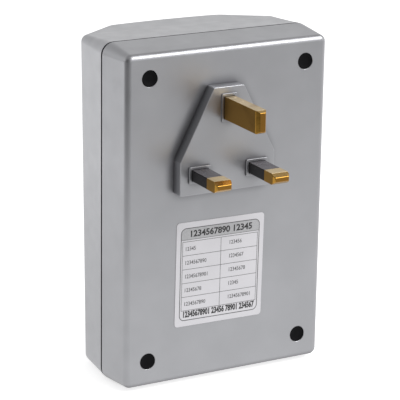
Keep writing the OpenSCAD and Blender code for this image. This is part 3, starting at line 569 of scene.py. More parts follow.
def front_block(name, inset=0.0, start=0.0):
    """The front shell as a closed block, moved inwards by inset, from start in front of the seam."""
    layers = []
    top, bottom = CASE_TOP - inset, CASE_BOTTOM + inset
    angles = [90 * k / EDGE_STEPS for k in range(EDGE_STEPS + 1)]
    for up, angle in [(1, a) for a in angles] + [(-1, a) for a in reversed(angles)]:
        a = math.radians(angle)
        edge_z = top if up > 0 else bottom
        level = edge_z - up * (CORNER_R - CORNER_R * math.cos(a))
        share = (level - CASE_BOTTOM) / (CASE_TOP - CASE_BOTTOM)
        side_depth = SIDE_DEPTH_BOTTOM + (SIDE_DEPTH_TOP - SIDE_DEPTH_BOTTOM) * share
        outline = front_profile(side_depth, inset, start)
        layer = []
        for i, p in enumerate(outline):
            along = outline[min(i + 1, len(outline) - 1)] - outline[max(i - 1, 0)]
            inward = Vector((-along.y, along.x)).normalized()
            if i in (0, len(outline) - 1):
                inward = Vector((-math.copysign(1, p.x), 0))
            depth = max(p.y, 0.0)
            t = min(depth / (side_depth + FACET_DEPTH), 1.0)
            radius = max(CORNER_R + (FRONT_EDGE_R - CORNER_R) * t - inset, FRONT_EDGE_MIN)
            drop = END_SLOPE * depth - END_CURVE * depth ** 2
            q = p + inward * radius * (1 - math.sin(a))
            z = edge_z - up * (drop + radius - radius * math.cos(a))
            layer.append(Vector((CASE_X + q.x, SEAM_Y - q.y, z)))
        layers.append(layer)
    count = len(layers[0])
    points = [p for layer in layers for p in layer]
    last = len(layers) - 1
    faces = []
    for first in (0, last * count):
        for i in range(count // 2):
            rung = [first + i, first + i + 1, first + count - 2 - i, first + count - 1 - i]
            faces.append(list(dict.fromkeys(rung)))
    faces.append([k * count for k in range(last + 1)]
                 + [k * count + count - 1 for k in range(last, -1, -1)])
    for k in range(last):
        for i in range(count - 1):
            faces.append([k * count + i, k * count + i + 1,
                          (k + 1) * count + i + 1, (k + 1) * count + i])
    return mesh_object(name, points, faces)


def inset_outline(points, distance):
    """Moves a convex outline in X and Z inwards."""
    middle = sum(points, Vector()) / len(points)
    moved = []
    for i, p in enumerate(points):
        before, after = points[i - 1], points[(i + 1) % len(points)]
        along = (after - before).normalized()
        normal = Vector((-along.z, 0, along.x))
        if normal.dot(middle - p) < 0:
            normal = -normal
        moved.append(p + normal * distance)
    return moved


def rounded_outline(corners, radius, steps=6):
    """An outline in X and Z through corners, each turned by a radius."""
    points = []
    for i, (x, z) in enumerate(corners):
        here = Vector((x, 0, z))
        before, after = [Vector((corners[j % len(corners)][0], 0, corners[j % len(corners)][1]))
                         for j in (i - 1, i + 1)]
        turn = (here - before).angle(after - here)
        cut = radius * math.tan(turn / 2)
        points += bend(before, here, after, cut, steps)
    return points


def soft_prism(name, outline, y_base, y_face, edge, steps=5):
    """An outline extruded along Y, whose edge at y_face is rounded."""
    side = math.copysign(1, y_face - y_base)
    rings = [[Vector((p.x, y_base, p.z)) for p in outline]]
    for k in range(steps + 1):
        a = math.radians(90 * k / steps)
        y = y_face - side * edge * (1 - math.sin(a))
        pulled_in = inset_outline(outline, edge * (1 - math.cos(a)))
        rings.append([Vector((p.x, y, p.z)) for p in pulled_in])
    return loft(name, rings)


def rectangle(x, z, half_w, half_h):
    return [(x - half_w, z - half_h), (x + half_w, z - half_h),
            (x + half_w, z + half_h), (x - half_w, z + half_h)]


def corners_of(node, radius):
    """Middles of four equal round pieces at the corners of a node's box, as (x, z)."""
    low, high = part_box(node)
    return [(x, z) for x in (low.x + radius, high.x - radius)
            for z in (low.z + radius, high.z - radius)]


# =====================================================================
# Rear shell
# =====================================================================
LABEL_LOW, LABEL_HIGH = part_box("rating_label")
CAPS_LOW, CAPS_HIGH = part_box("screw_caps")
CAP_R = 2.85 * MM
WELL_R = CAP_R + FIT_GAP / 2
SCREWS = corners_of("screw_caps", CAP_R)
TUBE_R = WELL_R + 1.6 * MM
WELL_END = BACK_Y - 9.5 * MM
WELL_LEAD = 0.12 * MM
TUBE_END = WELL_END - 2.2 * MM
CASE_HOLE_R = 1.7 * MM
SMALL_HEAD_R = 2.3 * MM
# Bosses on the inside of the back: the screws in them, their height and radius
BOSSES = (("carrier_screws", 2.4 * MM, 3.5 * MM), ("strap_screws", 4 * MM, 3.3 * MM))
FLANGE_ROOM = 1.7 * MM
PINS = {name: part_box(name) for name in ("earth_pin", "live_pin", "neutral_pin")}
# Half sizes of the blades, and of a line pin's solder tail
LINE_HALF = Vector((6.35 / 2 * MM, 0, 3.97 / 2 * MM))
EARTH_HALF = Vector((3.97 / 2 * MM, 0, 7.92 / 2 * MM))
PIN_TAIL = Vector((2 * MM, 0, 0.8 * MM))
# What a pin's tip loses on each side in X and in Z, and the lengths over which it does
EARTH_TIP = ((0.9 * MM, 0.7 * MM), (1.5 * MM, 1.2 * MM))
LINE_TIP = ((0.55 * MM, 1.25 * MM), (1.0 * MM, 1.8 * MM))
PIN_EDGE = 0.18 * MM
PIN_EASE = 0.15 * MM
SLEEVE_WALL = 0.5 * MM


def pin_middle(name):
    low, high = PINS[name]
    return (low + high) / 2


def pin_half(name):
    return EARTH_HALF if name == "earth_pin" else LINE_HALF


# The pad's corners as (x, z), in millimetres as the CAD's source gives them
PAD_CORNERS = [(-18.4, -7.3), (18.4, -7.3), (18.4, 4.8), (5.85, 29.5), (-5.85, 29.5), (-18.4, 4.8)]
PAD_OUTLINE = [(x * MM, z * MM) for x, z in PAD_CORNERS]


def rear_shell():
    rings = []
    for k in range(EDGE_STEPS + 1):
        a = math.radians(90 * k / EDGE_STEPS)
        depth = REAR_EDGE_R * (1 - math.cos(a))
        rings.append(rear_ring(REAR_EDGE_R, REAR_EDGE_R * (1 - math.sin(a)), BACK_Y - depth))
    rings.append(rear_ring(REAR_DEPTH, 0))
    shell = loft("rear_shell_visual", rings)

    skin = WALL / 2
    rebate = REAR_DEPTH - LIP_H - LIP_GAP
    hollow = loft("hollow", [rear_ring(WALL, WALL), rear_ring(rebate, WALL), rear_ring(rebate, skin),
                             rear_ring(REAR_DEPTH, skin), rear_ring(REAR_DEPTH, skin, SEAM_Y - MM)])
    combine(shell, [hollow], "DIFFERENCE")

    added = [soft_prism("pad", rounded_outline(PAD_OUTLINE, PAD_CORNER_R),
                        INNER_BACK_Y + 0.1 * MM, 0, PAD_EDGE_R)]
    for name in PINS:
        middle, half = pin_middle(name), pin_half(name)
        outline = rounded_outline(rectangle(middle.x, middle.z, half.x + COLLAR_W, half.z + COLLAR_W),
                                  COLLAR_CORNER_R)
        height = EARTH_COLLAR_H if name == "earth_pin" else COLLAR_H
        added.append(soft_prism("collar", outline, -MM, height, COLLAR_EDGE_R, 3))
    for x, z in SCREWS:
        added.append(rod("tube", x, z, INNER_BACK_Y + OVERLAP, TUBE_END, TUBE_R))
    for node, height, radius in BOSSES:
        low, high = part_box(node)
        for x in (low.x + SMALL_HEAD_R, high.x - SMALL_HEAD_R):
            added.append(rod("boss", x, (low.z + high.z) / 2, INNER_BACK_Y + OVERLAP,
                             INNER_BACK_Y - height, radius))
    combine(shell, added, "UNION")

    pocket = [Vector((x, 0, z)) for x, z in PAD_OUTLINE]
    pocket = inset_outline(pocket, WALL)
    removed = [loft("pocket", [[Vector((p.x, y, p.z)) for p in pocket]
                               for y in (FLANGE_Y, INNER_BACK_Y - OVERLAP)])]
    for name in PINS:
        middle, half = pin_middle(name), pin_half(name)
        low = (middle.x - half.x - FIT_GAP, FLANGE_Y - MM, middle.z - half.z - FIT_GAP)
        high = (middle.x + half.x + FIT_GAP, 2 * MM, middle.z + half.z + FIT_GAP)
        removed.append(box("slot", low, high))
        low = (middle.x - half.x - FLANGE_ROOM, INNER_BACK_Y - OVERLAP,
               middle.z - half.z - FLANGE_ROOM)
        high = (middle.x + half.x + FLANGE_ROOM, FLANGE_Y, middle.z + half.z + FLANGE_ROOM)
        removed.append(box("flange_room", low, high))
    for x, z in SCREWS:
        removed.append(turned("well", x, z, [(BACK_Y + MM, WELL_R + WELL_LEAD + MM),
                                             (BACK_Y - WELL_LEAD, WELL_R), (WELL_END, WELL_R)]))
        removed.append(rod("hole", x, z, WELL_END + MM, TUBE_END - MM, CASE_HOLE_R, 32))
    combine(shell, removed, "DIFFERENCE")
    return smooth(shell)


def capacitor_ribs():
    """Low walls that locate the power capacitor."""
    low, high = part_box("power_capacitor")
    mid = (low + high) / 2
    half_w, half_h = (high.x - low.x) / 2, (high.z - low.z) / 2
    gap, thick, foremost = 0.3 * MM, 1.4 * MM, INNER_BACK_Y - 7 * MM
    ribs = []
    for sx in (-1, 1):
        for sz in (-1, 1):
            x = mid.x + sx * (half_w + gap + thick / 2)
            z = mid.z + sz * half_h * 2 / 3
            ribs.append(box("rib", (x - thick / 2, foremost, z - half_h / 4),
                            (x + thick / 2, INNER_BACK_Y, z + half_h / 4)))
    for sz in (-1, 1):
        z = mid.z + sz * (half_h + gap + thick / 2)
        ribs.append(box("rib", (mid.x - half_w / 2, foremost, z - thick / 2),
                        (mid.x + half_w / 2, INNER_BACK_Y, z + thick / 2)))
    return smooth(bevelled(merged("capacitor_ribs", ribs), 0.3 * MM))


# =====================================================================
# Front shell
# =====================================================================
CASE_POST_R = 3.1 * MM
BOARD_POST_R = 2.85 * MM
PILOT_R = 1.26 * MM
PILOT_DEPTH = 12 * MM


def front_shell():
    shell = front_block("front_shell_visual")
    lip_start = rear_ring(REAR_DEPTH, WALL / 2 + LIP_GAP + REAR_DRAFT * LIP_H)
    lip_inner = rear_ring(REAR_DEPTH, WALL + 0.1 * MM)
    groove_foot = rounded_ring(SEAM_HALF - GROOVE_D, CASE_BOTTOM + GROOVE_D,
                               CASE_TOP - GROOVE_TOP_D, CORNER_R - GROOVE_D, SEAM_Y)
    groove = frame_ring("groove", rear_ring(REAR_DEPTH, -2 * MM), groove_foot,
                        SEAM_Y + MM, SEAM_Y - GROOVE_W)
    hollow = front_block("hollow", WALL, -MM)
    combine(shell, [groove, hollow], "DIFFERENCE")
    lip = frame_ring("lip", lip_start, lip_inner, SEAM_Y + LIP_H, SEAM_Y - 2 * MM)

    low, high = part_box("board_screws")
    board_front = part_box("main_board")[0].y
    posts = [rod("post", x, z, TUBE_END, FRONT_Y, CASE_POST_R) for x, z in SCREWS]
    posts += [rod("post", x, z, board_front, FRONT_Y, BOARD_POST_R)
              for x in (low.x + SMALL_HEAD_R, high.x - SMALL_HEAD_R)
              for z in (low.z + SMALL_HEAD_R, high.z - SMALL_HEAD_R)]
    posts = merged("posts", posts)
    combine(posts, [front_block("fill", WALL / 2, -6 * MM)], "INTERSECT")
    combine(shell, [lip, posts], "UNION")

    removed = [slab_on_face("recess", window_outline(FIT_GAP), WINDOW_SEAT, 3 * MM),
               slab_on_face("opening", window_outline(-WINDOW_LEDGE), -6 * MM, 3 * MM)]
    removed += [rod("pilot", x, z, TUBE_END + MM, TUBE_END - PILOT_DEPTH, PILOT_R, 32)
                for x, z in SCREWS]
    combine(shell, removed, "DIFFERENCE")
    return smooth(shell)


WINDOW_LOW, WINDOW_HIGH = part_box("front_window")
WINDOW_W = WINDOW_HIGH.x - WINDOW_LOW.x
WINDOW_H = 10 * MM
LEAN = math.atan((SIDE_DEPTH_TOP - SIDE_DEPTH_BOTTOM) / (CASE_TOP - CASE_BOTTOM))
WINDOW_Z = 16 * MM
WINDOW_STEPS = 24
# How far out from the crown the window's face and its seat lie, and the ledge that it sits on
WINDOW_FACE = -0.3 * MM
WINDOW_SEAT = -1.7 * MM
WINDOW_LEDGE = 1.2 * MM


def face_point(x, z, out):
    """A point on the leaning front, x and z from the window's middle and out from the crown."""
    share = (WINDOW_Z - CASE_BOTTOM) / (CASE_TOP - CASE_BOTTOM)
    side_depth = SIDE_DEPTH_BOTTOM + (SIDE_DEPTH_TOP - SIDE_DEPTH_BOTTOM) * share
    origin = Vector((CASE_X, SEAM_Y - side_depth - FACET_DEPTH - CROWN, WINDOW_Z))
    turn = Matrix.Rotation(-LEAN, 3, "X")
    return origin + turn @ Vector((x, -out, z))


def window_outline(grow):
    """A slot shape, as (x, z) from the window's middle."""
    radius = WINDOW_H / 2 + grow
    straight = WINDOW_W / 2 - WINDOW_H / 2
    points = []
    for side in (1, -1):
        for k in range(WINDOW_STEPS + 1):
            a = math.radians(-90 + 180 * k / WINDOW_STEPS + (0 if side > 0 else 180))
            points.append((side * straight + radius * math.cos(a), radius * math.sin(a)))
    return points


def slab_on_face(name, outline, out_from, out_to):
    return loft(name, [[face_point(x, z, out) for x, z in outline] for out in (out_from, out_to)])


def front_window():
    """A smoked window that rests on the ledge, with a neck that fills the opening behind it."""
    edge, neck = 0.25 * MM, -1.3 * MM
    steps = ((neck, WINDOW_SEAT - 1.2 * MM), (neck, WINDOW_SEAT), (0, WINDOW_SEAT),
             (0, WINDOW_FACE - edge), (-0.3 * edge, WINDOW_FACE - 0.3 * edge), (-edge, WINDOW_FACE))
    rings = [[face_point(x, z, out) for x, z in window_outline(grow)] for grow, out in steps]
    return smooth(loft("front_window_visual", rings))


# =====================================================================
# Plug pins, sleeves and caps
# =====================================================================
def eased(t):
    """0 below 0 and t above it, with a soft turn between."""
    if abs(t) < PIN_EASE:
        return (t + PIN_EASE) ** 2 / (4 * PIN_EASE)
    return max(t, 0.0)


def pin(name, cuts, lengths, sleeve_node=None):
    """A pin as one lofted solid: solder tail, flange and blade. The tip is cut back on each pair
    of sides, X and then Z, over a length. The blade is necked down where a sleeve sits."""
    low, high = PINS[name]
    middle, blade = pin_middle(name), pin_half(name)
    flange = (high - low) / 2
    tail = PIN_TAIL.zyx if name == "earth_pin" else PIN_TAIL
    tip = high.y
    rings = []

    def ring(y, half, inset=0.0):
        outline = rounded_outline(rectangle(middle.x, middle.z, half.x - inset, half.z - inset),
                                  PIN_EDGE, 3)
        rings.append([Vector((p.x, y, p.z)) for p in outline])

    def blade_at(y):
        x, z = [half - cut / length * eased(y - tip + length)
                for half, cut, length in zip((blade.x, blade.z), cuts, lengths)]
        return Vector((x, 0, z))

    ring(low.y, tail, PIN_EDGE)
    ring(low.y + PIN_EDGE, tail)
    ring(INNER_BACK_Y, tail)
    ring(INNER_BACK_Y, flange, PIN_EDGE)
    ring(INNER_BACK_Y + PIN_EDGE, flange)
    ring(FLANGE_Y - PIN_EDGE, flange)
    ring(FLANGE_Y, flange, PIN_EDGE)
    blade_start = FLANGE_Y
    if sleeve_node:
        blade_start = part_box(sleeve_node)[1].y
        ring(FLANGE_Y, blade, SLEEVE_WALL)
        ring(blade_start, blade, SLEEVE_WALL)
    ring(blade_start, blade)
    for y in sorted({tip - length + turn for length in lengths for turn in (-PIN_EASE, 0.0, PIN_EASE)}):
        ring(y, blade_at(y))
    for k in range(4):
        a = math.radians(30 * k)
        y = tip - PIN_EDGE * (1 - math.sin(a))
        ring(y, blade_at(y), PIN_EDGE * (1 - math.cos(a)))
    return smooth(loft(name + "_visual", rings), 25)


def sleeve(name):
    """An insulating sleeve: a close rectangular tube with soft edges."""
    low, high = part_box(name)
    x, z = (low.x + high.x) / 2, (low.z + high.z) / 2
    half_w, half_h = (high.x - low.x) / 2, (high.z - low.z) / 2
    body = frame_ring(name + "_visual",
                      rounded_outline(rectangle(x, z, half_w, half_h), 0.35 * MM, 4),
                      rounded_outline(rectangle(x, z, half_w - SLEEVE_WALL, half_h - SLEEVE_WALL),
                                      0.1 * MM, 4),
                      low.y, high.y)
    return smooth(bevelled(body, 0.06 * MM, 1, 50))


def screw_caps():
    """Four caps with a shallow dish and a turned edge."""
    top = CAPS_HIGH.y
    low = CAPS_LOW.y
    profile = [(low, CAP_R - 0.3 * MM), (low + 0.4 * MM, CAP_R), (top - 0.2 * MM, CAP_R),
               (top - 0.06 * MM, CAP_R - 0.06 * MM), (top, CAP_R - 0.2 * MM),
               (top - 0.05 * MM, CAP_R - 0.5 * MM), (top - 0.3 * MM, CAP_R - 0.9 * MM),
               (top - 0.38 * MM, CAP_R * 0.4), (top - 0.4 * MM, CAP_R * 0.08)]
    return smooth(merged("screw_caps_visual",
                         [turned("cap", x, z, profile) for x, z in SCREWS]), 40)


# =====================================================================
# Rating label, with a blank table of plain numbers
# =====================================================================
LABEL_W, LABEL_H = 34.6 * MM, 37.9 * MM
LABEL_MID = (LABEL_LOW + LABEL_HIGH) / 2
LABEL_TILT = math.radians(0.8)
LABEL_TOP = LABEL_HIGH.y
PRINT_BASE = 0.002 * MM
PRINT_LIFT = 0.02 * MM


def on_label(u, v, out=0.0):
    """A point on the label: u to the right as it is read, v up, out from its surface."""
    turned_u = u * math.cos(LABEL_TILT) + v * math.sin(LABEL_TILT)
    turned_v = v * math.cos(LABEL_TILT) - u * math.sin(LABEL_TILT)
    return Vector((LABEL_MID.x - turned_u, LABEL_TOP + out, LABEL_MID.z + turned_v))


def rounded_points(half_w, half_h, radius, steps=8):
    points = []
    for corner, (sx, sz) in enumerate(((1, 1), (-1, 1), (-1, -1), (1, -1))):
        for k in range(steps + 1):
            a = math.radians(90 * (corner + k / steps))
            points.append((sx * (half_w - radius) + radius * math.cos(a),
                           sz * (half_h - radius) + radius * math.sin(a)))
    return points


def label_sheet():
    outline = rounded_points(LABEL_W / 2, LABEL_H / 2, 1.2 * MM)
    rings = [[on_label(u, v, out) for u, v in outline] for out in (LABEL_LOW.y - LABEL_TOP, -0.04 * MM)]
    inner = rounded_points(LABEL_W / 2 - 0.05 * MM, LABEL_H / 2 - 0.05 * MM, 1.15 * MM)
    rings.append([on_label(u, v, 0) for u, v in inner])
    return smooth(loft("rating_label_visual", rings))


def printed(name, outline, inner=None):
    """A flat printed shape on the label, as a very thin solid."""
    if inner is None:
        return loft(name, [[on_label(u, v, out) for u, v in outline]
                           for out in (PRINT_BASE, PRINT_LIFT)])
    return band(name, [on_label(u, v, out) for edge in (outline, inner)
                       for out in (PRINT_BASE, PRINT_LIFT) for u, v in edge])


def bar(u0, v0, u1, v1):
    return printed("bar", [(u0, v0), (u1, v0), (u1, v1), (u0, v1)])


def digits(text, u, v, height, squeeze=1.0, weight=0.0):
    """Plain figures, printed with their left end at u and their foot at v."""
    curve = bpy.data.curves.new("figures", "FONT")
    curve.body = text
    curve.size = 1.0
    curve.offset = weight
    curve.resolution_u = 3
    holder = link(bpy.data.objects.new("figures", curve))
    mesh = bpy.data.meshes.new_from_object(
        holder.evaluated_get(bpy.context.evaluated_depsgraph_get()))
    bpy.data.objects.remove(holder)
    scale = height / 0.7
    bm = bmesh.new()
    bm.from_mesh(mesh)
    solid = bmesh.ops.extrude_face_region(bm, geom=bm.faces[:])
    lifted = {e for e in solid["geom"] if isinstance(e, bmesh.types.BMVert)}
    for vert in bm.verts:
        out = PRINT_LIFT if vert in lifted else PRINT_BASE
        vert.co = on_label(u + vert.co.x * scale * squeeze, v + vert.co.y * scale, out)
    bmesh.ops.recalc_face_normals(bm, faces=bm.faces)
    bm.to_mesh(mesh)
    bm.free()
    return link(bpy.data.objects.new("figures", mesh))


# The table as it is printed: half sizes of the border, the header's foot, the rows and columns
BORDER_W, BORDER_H = 15.6 * MM, 16.9 * MM
BORDER_R = 2.0 * MM
HEADER_FOOT = 12.7 * MM
TABLE_W = 14.9 * MM
TABLE_TOP = 12.0 * MM
TABLE_FOOT = -13.1 * MM
COLUMN = 0.2 * MM
ROWS = 5
RULE = 0.16 * MM
BORDER_LINE = 0.28 * MM
HEADER_INSET = 0.3 * MM


def label_rules():
    """The border and the table's rules."""
    pieces = [printed("border", rounded_points(BORDER_W, BORDER_H, BORDER_R),
                      rounded_points(BORDER_W - BORDER_LINE, BORDER_H - BORDER_LINE,
                                     BORDER_R - BORDER_LINE))]
    pieces.append(bar(-BORDER_W + HEADER_INSET, HEADER_FOOT - RULE,
                      BORDER_W - HEADER_INSET, HEADER_FOOT))
    for row in range(ROWS + 1):
        v = TABLE_TOP + (TABLE_FOOT - TABLE_TOP) * row / ROWS
        pieces.append(bar(-TABLE_W, v - RULE, TABLE_W, v))
    for u in (-TABLE_W, COLUMN, TABLE_W - RULE):
        pieces.append(bar(u, TABLE_FOOT - RULE / 2, u + RULE, TABLE_TOP - RULE / 2))
    return merged("label_rules", pieces)


def label_header():
    """The tinted band behind the heading."""
    outline = [(u, max(v, HEADER_FOOT)) for u, v in
               rounded_points(BORDER_W - HEADER_INSET, BORDER_H - HEADER_INSET,
                              BORDER_R - HEADER_INSET) if v > 0]
    outline += [(-BORDER_W + HEADER_INSET, HEADER_FOOT), (BORDER_W - HEADER_INSET, HEADER_FOOT)]
    points = [on_label(u, v, out) for out in (0.001 * MM, 0.01 * MM) for u, v in outline]
    count = len(outline)
    faces = [list(range(count)), list(range(count, 2 * count))]
    faces += [[i, (i + 1) % count, count + (i + 1) % count, count + i] for i in range(count)]
    return mesh_object("label_header", points, faces)


def label_figures():
    """Plain figures where a table has its words and values."""
    left = ("12345", "1234567890", "12345678901", "12345678", "1234567890")
    right = ("123456", "1234567", "12345678", "12345", "12345678901")
    pieces = []
    for row in range(ROWS):
        foot = TABLE_TOP + (TABLE_FOOT - TABLE_TOP) * (row + 0.66) / ROWS
        pieces.append(digits(left[row], -TABLE_W + 1.0 * MM, foot, 1.4 * MM, 0.86, 0.012))
        pieces.append(digits(right[row], COLUMN + 3.2 * MM, foot + 0.3 * MM, 1.4 * MM, 0.86, 0.012))
    return merged("label_figures", pieces)


def label_headings():
    """The bolder figures in the header and along the foot."""
    return merged("label_headings", [
        digits("1234567890 12345", -12.3 * MM, 13.6 * MM, 2.2 * MM, 1.02, 0.032),
        digits("12345678901 23456 78901 234567", -14.3 * MM, -15.6 * MM, 2.1 * MM, 0.665, 0.042)])


# =====================================================================
# The object
# =====================================================================
place(rear_shell(), "silver_plastic", SILVER, "rear_shell")
place(capacitor_ribs(), "silver_plastic", SILVER)
place(front_shell(), "silver_plastic", SILVER, "front_shell")
place(front_window(), "smoked_window", WINDOW, "front_window")
place(screw_caps(), "black_cap", CAP_BLACK, "screw_caps")

place(pin("earth_pin", *EARTH_TIP), "brass", BRASS, "earth_pin")
for side in ("live", "neutral"):
    pin_node, sleeve_node = side + "_pin", side + "_sleeve"
    blade = pin(pin_node, *LINE_TIP, sleeve_node)
    place(blade, "brass", BRASS, pin_node)
    place(sleeve(sleeve_node), "sleeve_black", SLEEVE, sleeve_node)

place(label_sheet(), "label_film", FILM, "rating_label")
place(label_header(), "label_film", INK_BAND)
place(label_rules(), "label_film", INK_MID)
place(label_figures(), "label_film", INK_MID)
place(label_headings(), "label_film", INK_DARK)

# CAD nodes that are shown as they are: a material each, and the width in millimetres of a bevel
# modifier that softens their edges, or 0 for none
KEPT = {
    "case_screws": (STEEL, 0.12), "carrier_screws": (STEEL, 0.1), "board_screws": (STEEL, 0.1),
    "strap_screws": (STEEL, 0.1), "pin_carrier": (CARRIER, 0.25), "main_board": (LAMINATE, 0.08),
    "power_capacitor": (BOX_BLACK, 0.8), "capacitor_pad": (FOAM, 0.1),
    "capacitor_strap": (STRAP, 0.12), "suppressor_capacitor": (YELLOW, 0.4),
    "varistor_live_neutral": (BLUE_DIP, 0.8), "varistor_live_earth": (BLUE_DIP, 0.8),
    "varistor_neutral_earth": (BLUE_DIP, 0.8), "fuse_tube": (GLASS, 0.05),
    "fuse_end_caps": (TIN, 0.15), "fuse_wire": (TIN, 0.0), "fuse_clips": (CLIP, 0.08),
    "rectifier_diodes": (DIODE, 0.0), "smoothing_capacitor": (SLEEVE_BLUE, 0.5),
    "bleed_resistor": (RESISTOR_BLUE, 0.0), "led_resistors": (RESISTOR_TAN, 0.0),
    "led_left": (LED, 0.0), "led_right": (LED, 0.0), "led_spacers": (CARRIER, 0.1),
    "live_wire": (WIRE_BROWN, 0.0), "neutral_wire": (WIRE_BLUE, 0.0),
    "earth_wire": (WIRE_GREEN, 0.0), "capacitor_live_wire": (WIRE_RED, 0.0),
    "capacitor_neutral_wire": (WIRE_RED, 0.0),
}
for node, (material, edge) in KEPT.items():
    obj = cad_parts[node]
    obj.data.materials.clear()
    obj.data.materials.append(material)
    if edge:
        flat = obj.modifiers.new("flats", "DECIMATE")
        flat.decimate_type = "DISSOLVE"
        flat.angle_limit = math.radians(1)
        bevel = obj.modifiers.new("edges", "BEVEL")
        bevel.width = edge * MM
        bevel.segments = 2
        bevel.limit_method = "ANGLE"
        bevel.angle_limit = math.radians(35)


# =====================================================================
# Stage, light and camera
# =====================================================================
# The dark side of the room, and the side that the pins point to
DARK_SIDE = Vector((0.84, 0.46, 0))
PIN_SIDE = Vector((0, 1, 0))
FLOOR_REACH = 3.0
FLOOR_GLOW = 0.72
FLOOR_LIT = 0.965
HORIZON = 0.92
ZENITH = 0.40
# How high a direction is where the room starts to dim towards ZENITH, and where it has
DIM_FROM, DIM_TO = 0.25, 0.8
# How far along its side each change of light starts and ends, and the level that it ends at
FLOOR_DARK = (0.18, 0.38, 0.08)
FLOOR_NEAR = (0.05, 0.45, 0.56)
FLOOR_FAR = (0.05, 0.33, 1.24)
ROOM_DARK = (0.4, 0.9, 0.08)


def level_towards(tree, side, place, low, high, level):
    """1 turning to a level as a place's share along a side goes from low to high."""
    dot = tree.nodes.new("ShaderNodeVectorMath")
    dot.operation = "DOT_PRODUCT"
    tree.links.new(place, dot.inputs[0])
    dot.inputs[1].default_value = side
    node = tree.nodes.new("ShaderNodeMapRange")
    node.interpolation_type = "SMOOTHSTEP"
    node.inputs["From Min"].default_value = low
    node.inputs["From Max"].default_value = high
    node.inputs["To Min"].default_value = 1.0
    node.inputs["To Max"].default_value = level
    tree.links.new(dot.outputs["Value"], node.inputs["Value"])
    return node.outputs["Result"]


def product(tree, first, second):
    """Two values multiplied."""
    node = tree.nodes.new("ShaderNodeMath")
    node.operation = "MULTIPLY"
    tree.links.new(first, node.inputs[0])
    tree.links.new(second, node.inputs[1])
    return node.outputs["Value"]


def seen_or_lit(tree, seen, lit, output):
    """One shader where the camera looks, and another for the light that the object gets."""
    path = tree.nodes.new("ShaderNodeLightPath")
    mix = tree.nodes.new("ShaderNodeMixShader")
    tree.links.new(path.outputs["Is Camera Ray"], mix.inputs["Fac"])
    tree.links.new(lit, mix.inputs[1])
    tree.links.new(seen, mix.inputs[2])
    tree.links.new(mix.outputs["Shader"], output)


def studio_floor():
    """A pale floor. It lights the object less on the dark side and where the pins point, and
    more on the far side of it."""
    z = CASE_BOTTOM - 0.05 * MM
    corners = [(x * FLOOR_REACH, y * FLOOR_REACH) for x, y in ((-1, -1), (1, -1), (1, 1), (-1, 1))]
    floor = mesh_object("floor", [Vector((x, y, z)) for x, y in corners], [[0, 1, 2, 3]])
    s = Shader("floor_pale", (0.80, 0.80, 0.80), 0.9)
    s.vary(0.01, 80 * MM)
    s.set(Emission_Color=(1, 1, 1, 1), Emission_Strength=FLOOR_GLOW)
    lit = s.add("ShaderNodeEmission")
    glow = product(s.tree, level_towards(s.tree, DARK_SIDE, s.place, *FLOOR_DARK),
                   level_towards(s.tree, PIN_SIDE, s.place, *FLOOR_NEAR))
    glow = product(s.tree, glow, level_towards(s.tree, -PIN_SIDE, s.place, *FLOOR_FAR))
    lit.inputs["Color"].default_value = (FLOOR_LIT, FLOOR_LIT, FLOOR_LIT, 1)
    s.wire(glow, lit.inputs["Strength"])
    output = s.tree.nodes["Material Output"].inputs["Surface"]
    seen_or_lit(s.tree, s.shader.outputs["BSDF"], lit.outputs["Emission"], output)
    floor.data.materials.append(s.material)


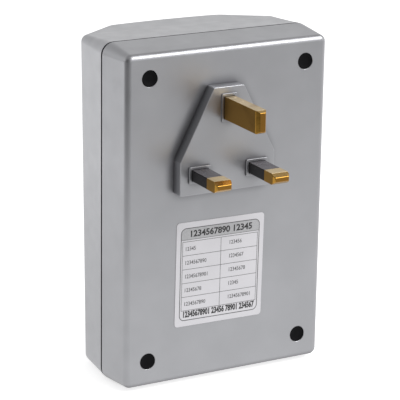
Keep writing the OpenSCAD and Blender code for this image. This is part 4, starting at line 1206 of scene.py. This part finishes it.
def studio_world():
    """A white surround, dim overhead and dark on one side in what the object reflects."""
    world = bpy.data.worlds.new("studio")
    world.use_nodes = True
    tree = world.node_tree
    lit = tree.nodes["Background"]
    direction = tree.nodes.new("ShaderNodeTexCoord").outputs["Generated"]
    split = tree.nodes.new("ShaderNodeSeparateXYZ")
    tree.links.new(direction, split.inputs["Vector"])
    height = tree.nodes.new("ShaderNodeMapRange")
    height.inputs["From Min"].default_value = DIM_FROM
    height.inputs["From Max"].default_value = DIM_TO
    height.inputs["To Min"].default_value = HORIZON
    height.inputs["To Max"].default_value = ZENITH
    tree.links.new(split.outputs["Z"], height.inputs["Value"])
    dark = level_towards(tree, DARK_SIDE, direction, *ROOM_DARK)
    tree.links.new(product(tree, height.outputs["Result"], dark), lit.inputs["Strength"])
    lit.inputs["Color"].default_value = (1, 1, 1, 1)
    seen = tree.nodes.new("ShaderNodeBackground")
    seen.inputs["Color"].default_value = (1, 1, 1, 1)
    output = tree.nodes["World Output"].inputs["Surface"]
    seen_or_lit(tree, seen.outputs["Background"], lit.outputs["Background"], output)
    bpy.context.scene.world = world


def softbox(name, position, aim, width, height, power):
    light = bpy.data.lights.new(name, "AREA")
    light.shape = "RECTANGLE"
    light.size, light.size_y = width, height
    light.energy = power
    obj = link(bpy.data.objects.new(name, light))
    obj.location = position
    obj.rotation_euler = (Vector(aim) - Vector(position)).to_track_quat("-Z", "Y").to_euler()
    return obj


def camera(azimuth, elevation, roll, distance, aim, lens):
    data = bpy.data.cameras.new("camera")
    data.lens = lens
    data.clip_start, data.clip_end = 0.05, 30
    obj = link(bpy.data.objects.new("camera", data))
    a, e = math.radians(azimuth), math.radians(elevation)
    back = Vector((math.sin(a) * math.cos(e), -math.cos(a) * math.cos(e), math.sin(e)))
    obj.rotation_mode = "QUATERNION"
    turn = (-back).to_track_quat("-Z", "Y")
    obj.rotation_quaternion = turn @ Matrix.Rotation(math.radians(roll), 3, "Z").to_quaternion()
    obj.location = Vector(aim) + back * distance
    bpy.context.scene.camera = obj
    return obj


studio_floor()
studio_world()
bpy.context.scene.view_settings.view_transform = "Standard"

MIDDLE = (CAD_BOX[0] + CAD_BOX[1]) / 2


def from_middle(direction, distance):
    return MIDDLE + Vector(direction).normalized() * distance


softbox("overhead", from_middle((-0.46, 0.52, 0.72), 0.9), MIDDLE, width=0.8, height=0.5, power=5.0)
camera(azimuth=151.1, elevation=17.24, roll=0.906, distance=0.7132,
       aim=(0.0014, -0.01675, -0.01516), lens=183.5)
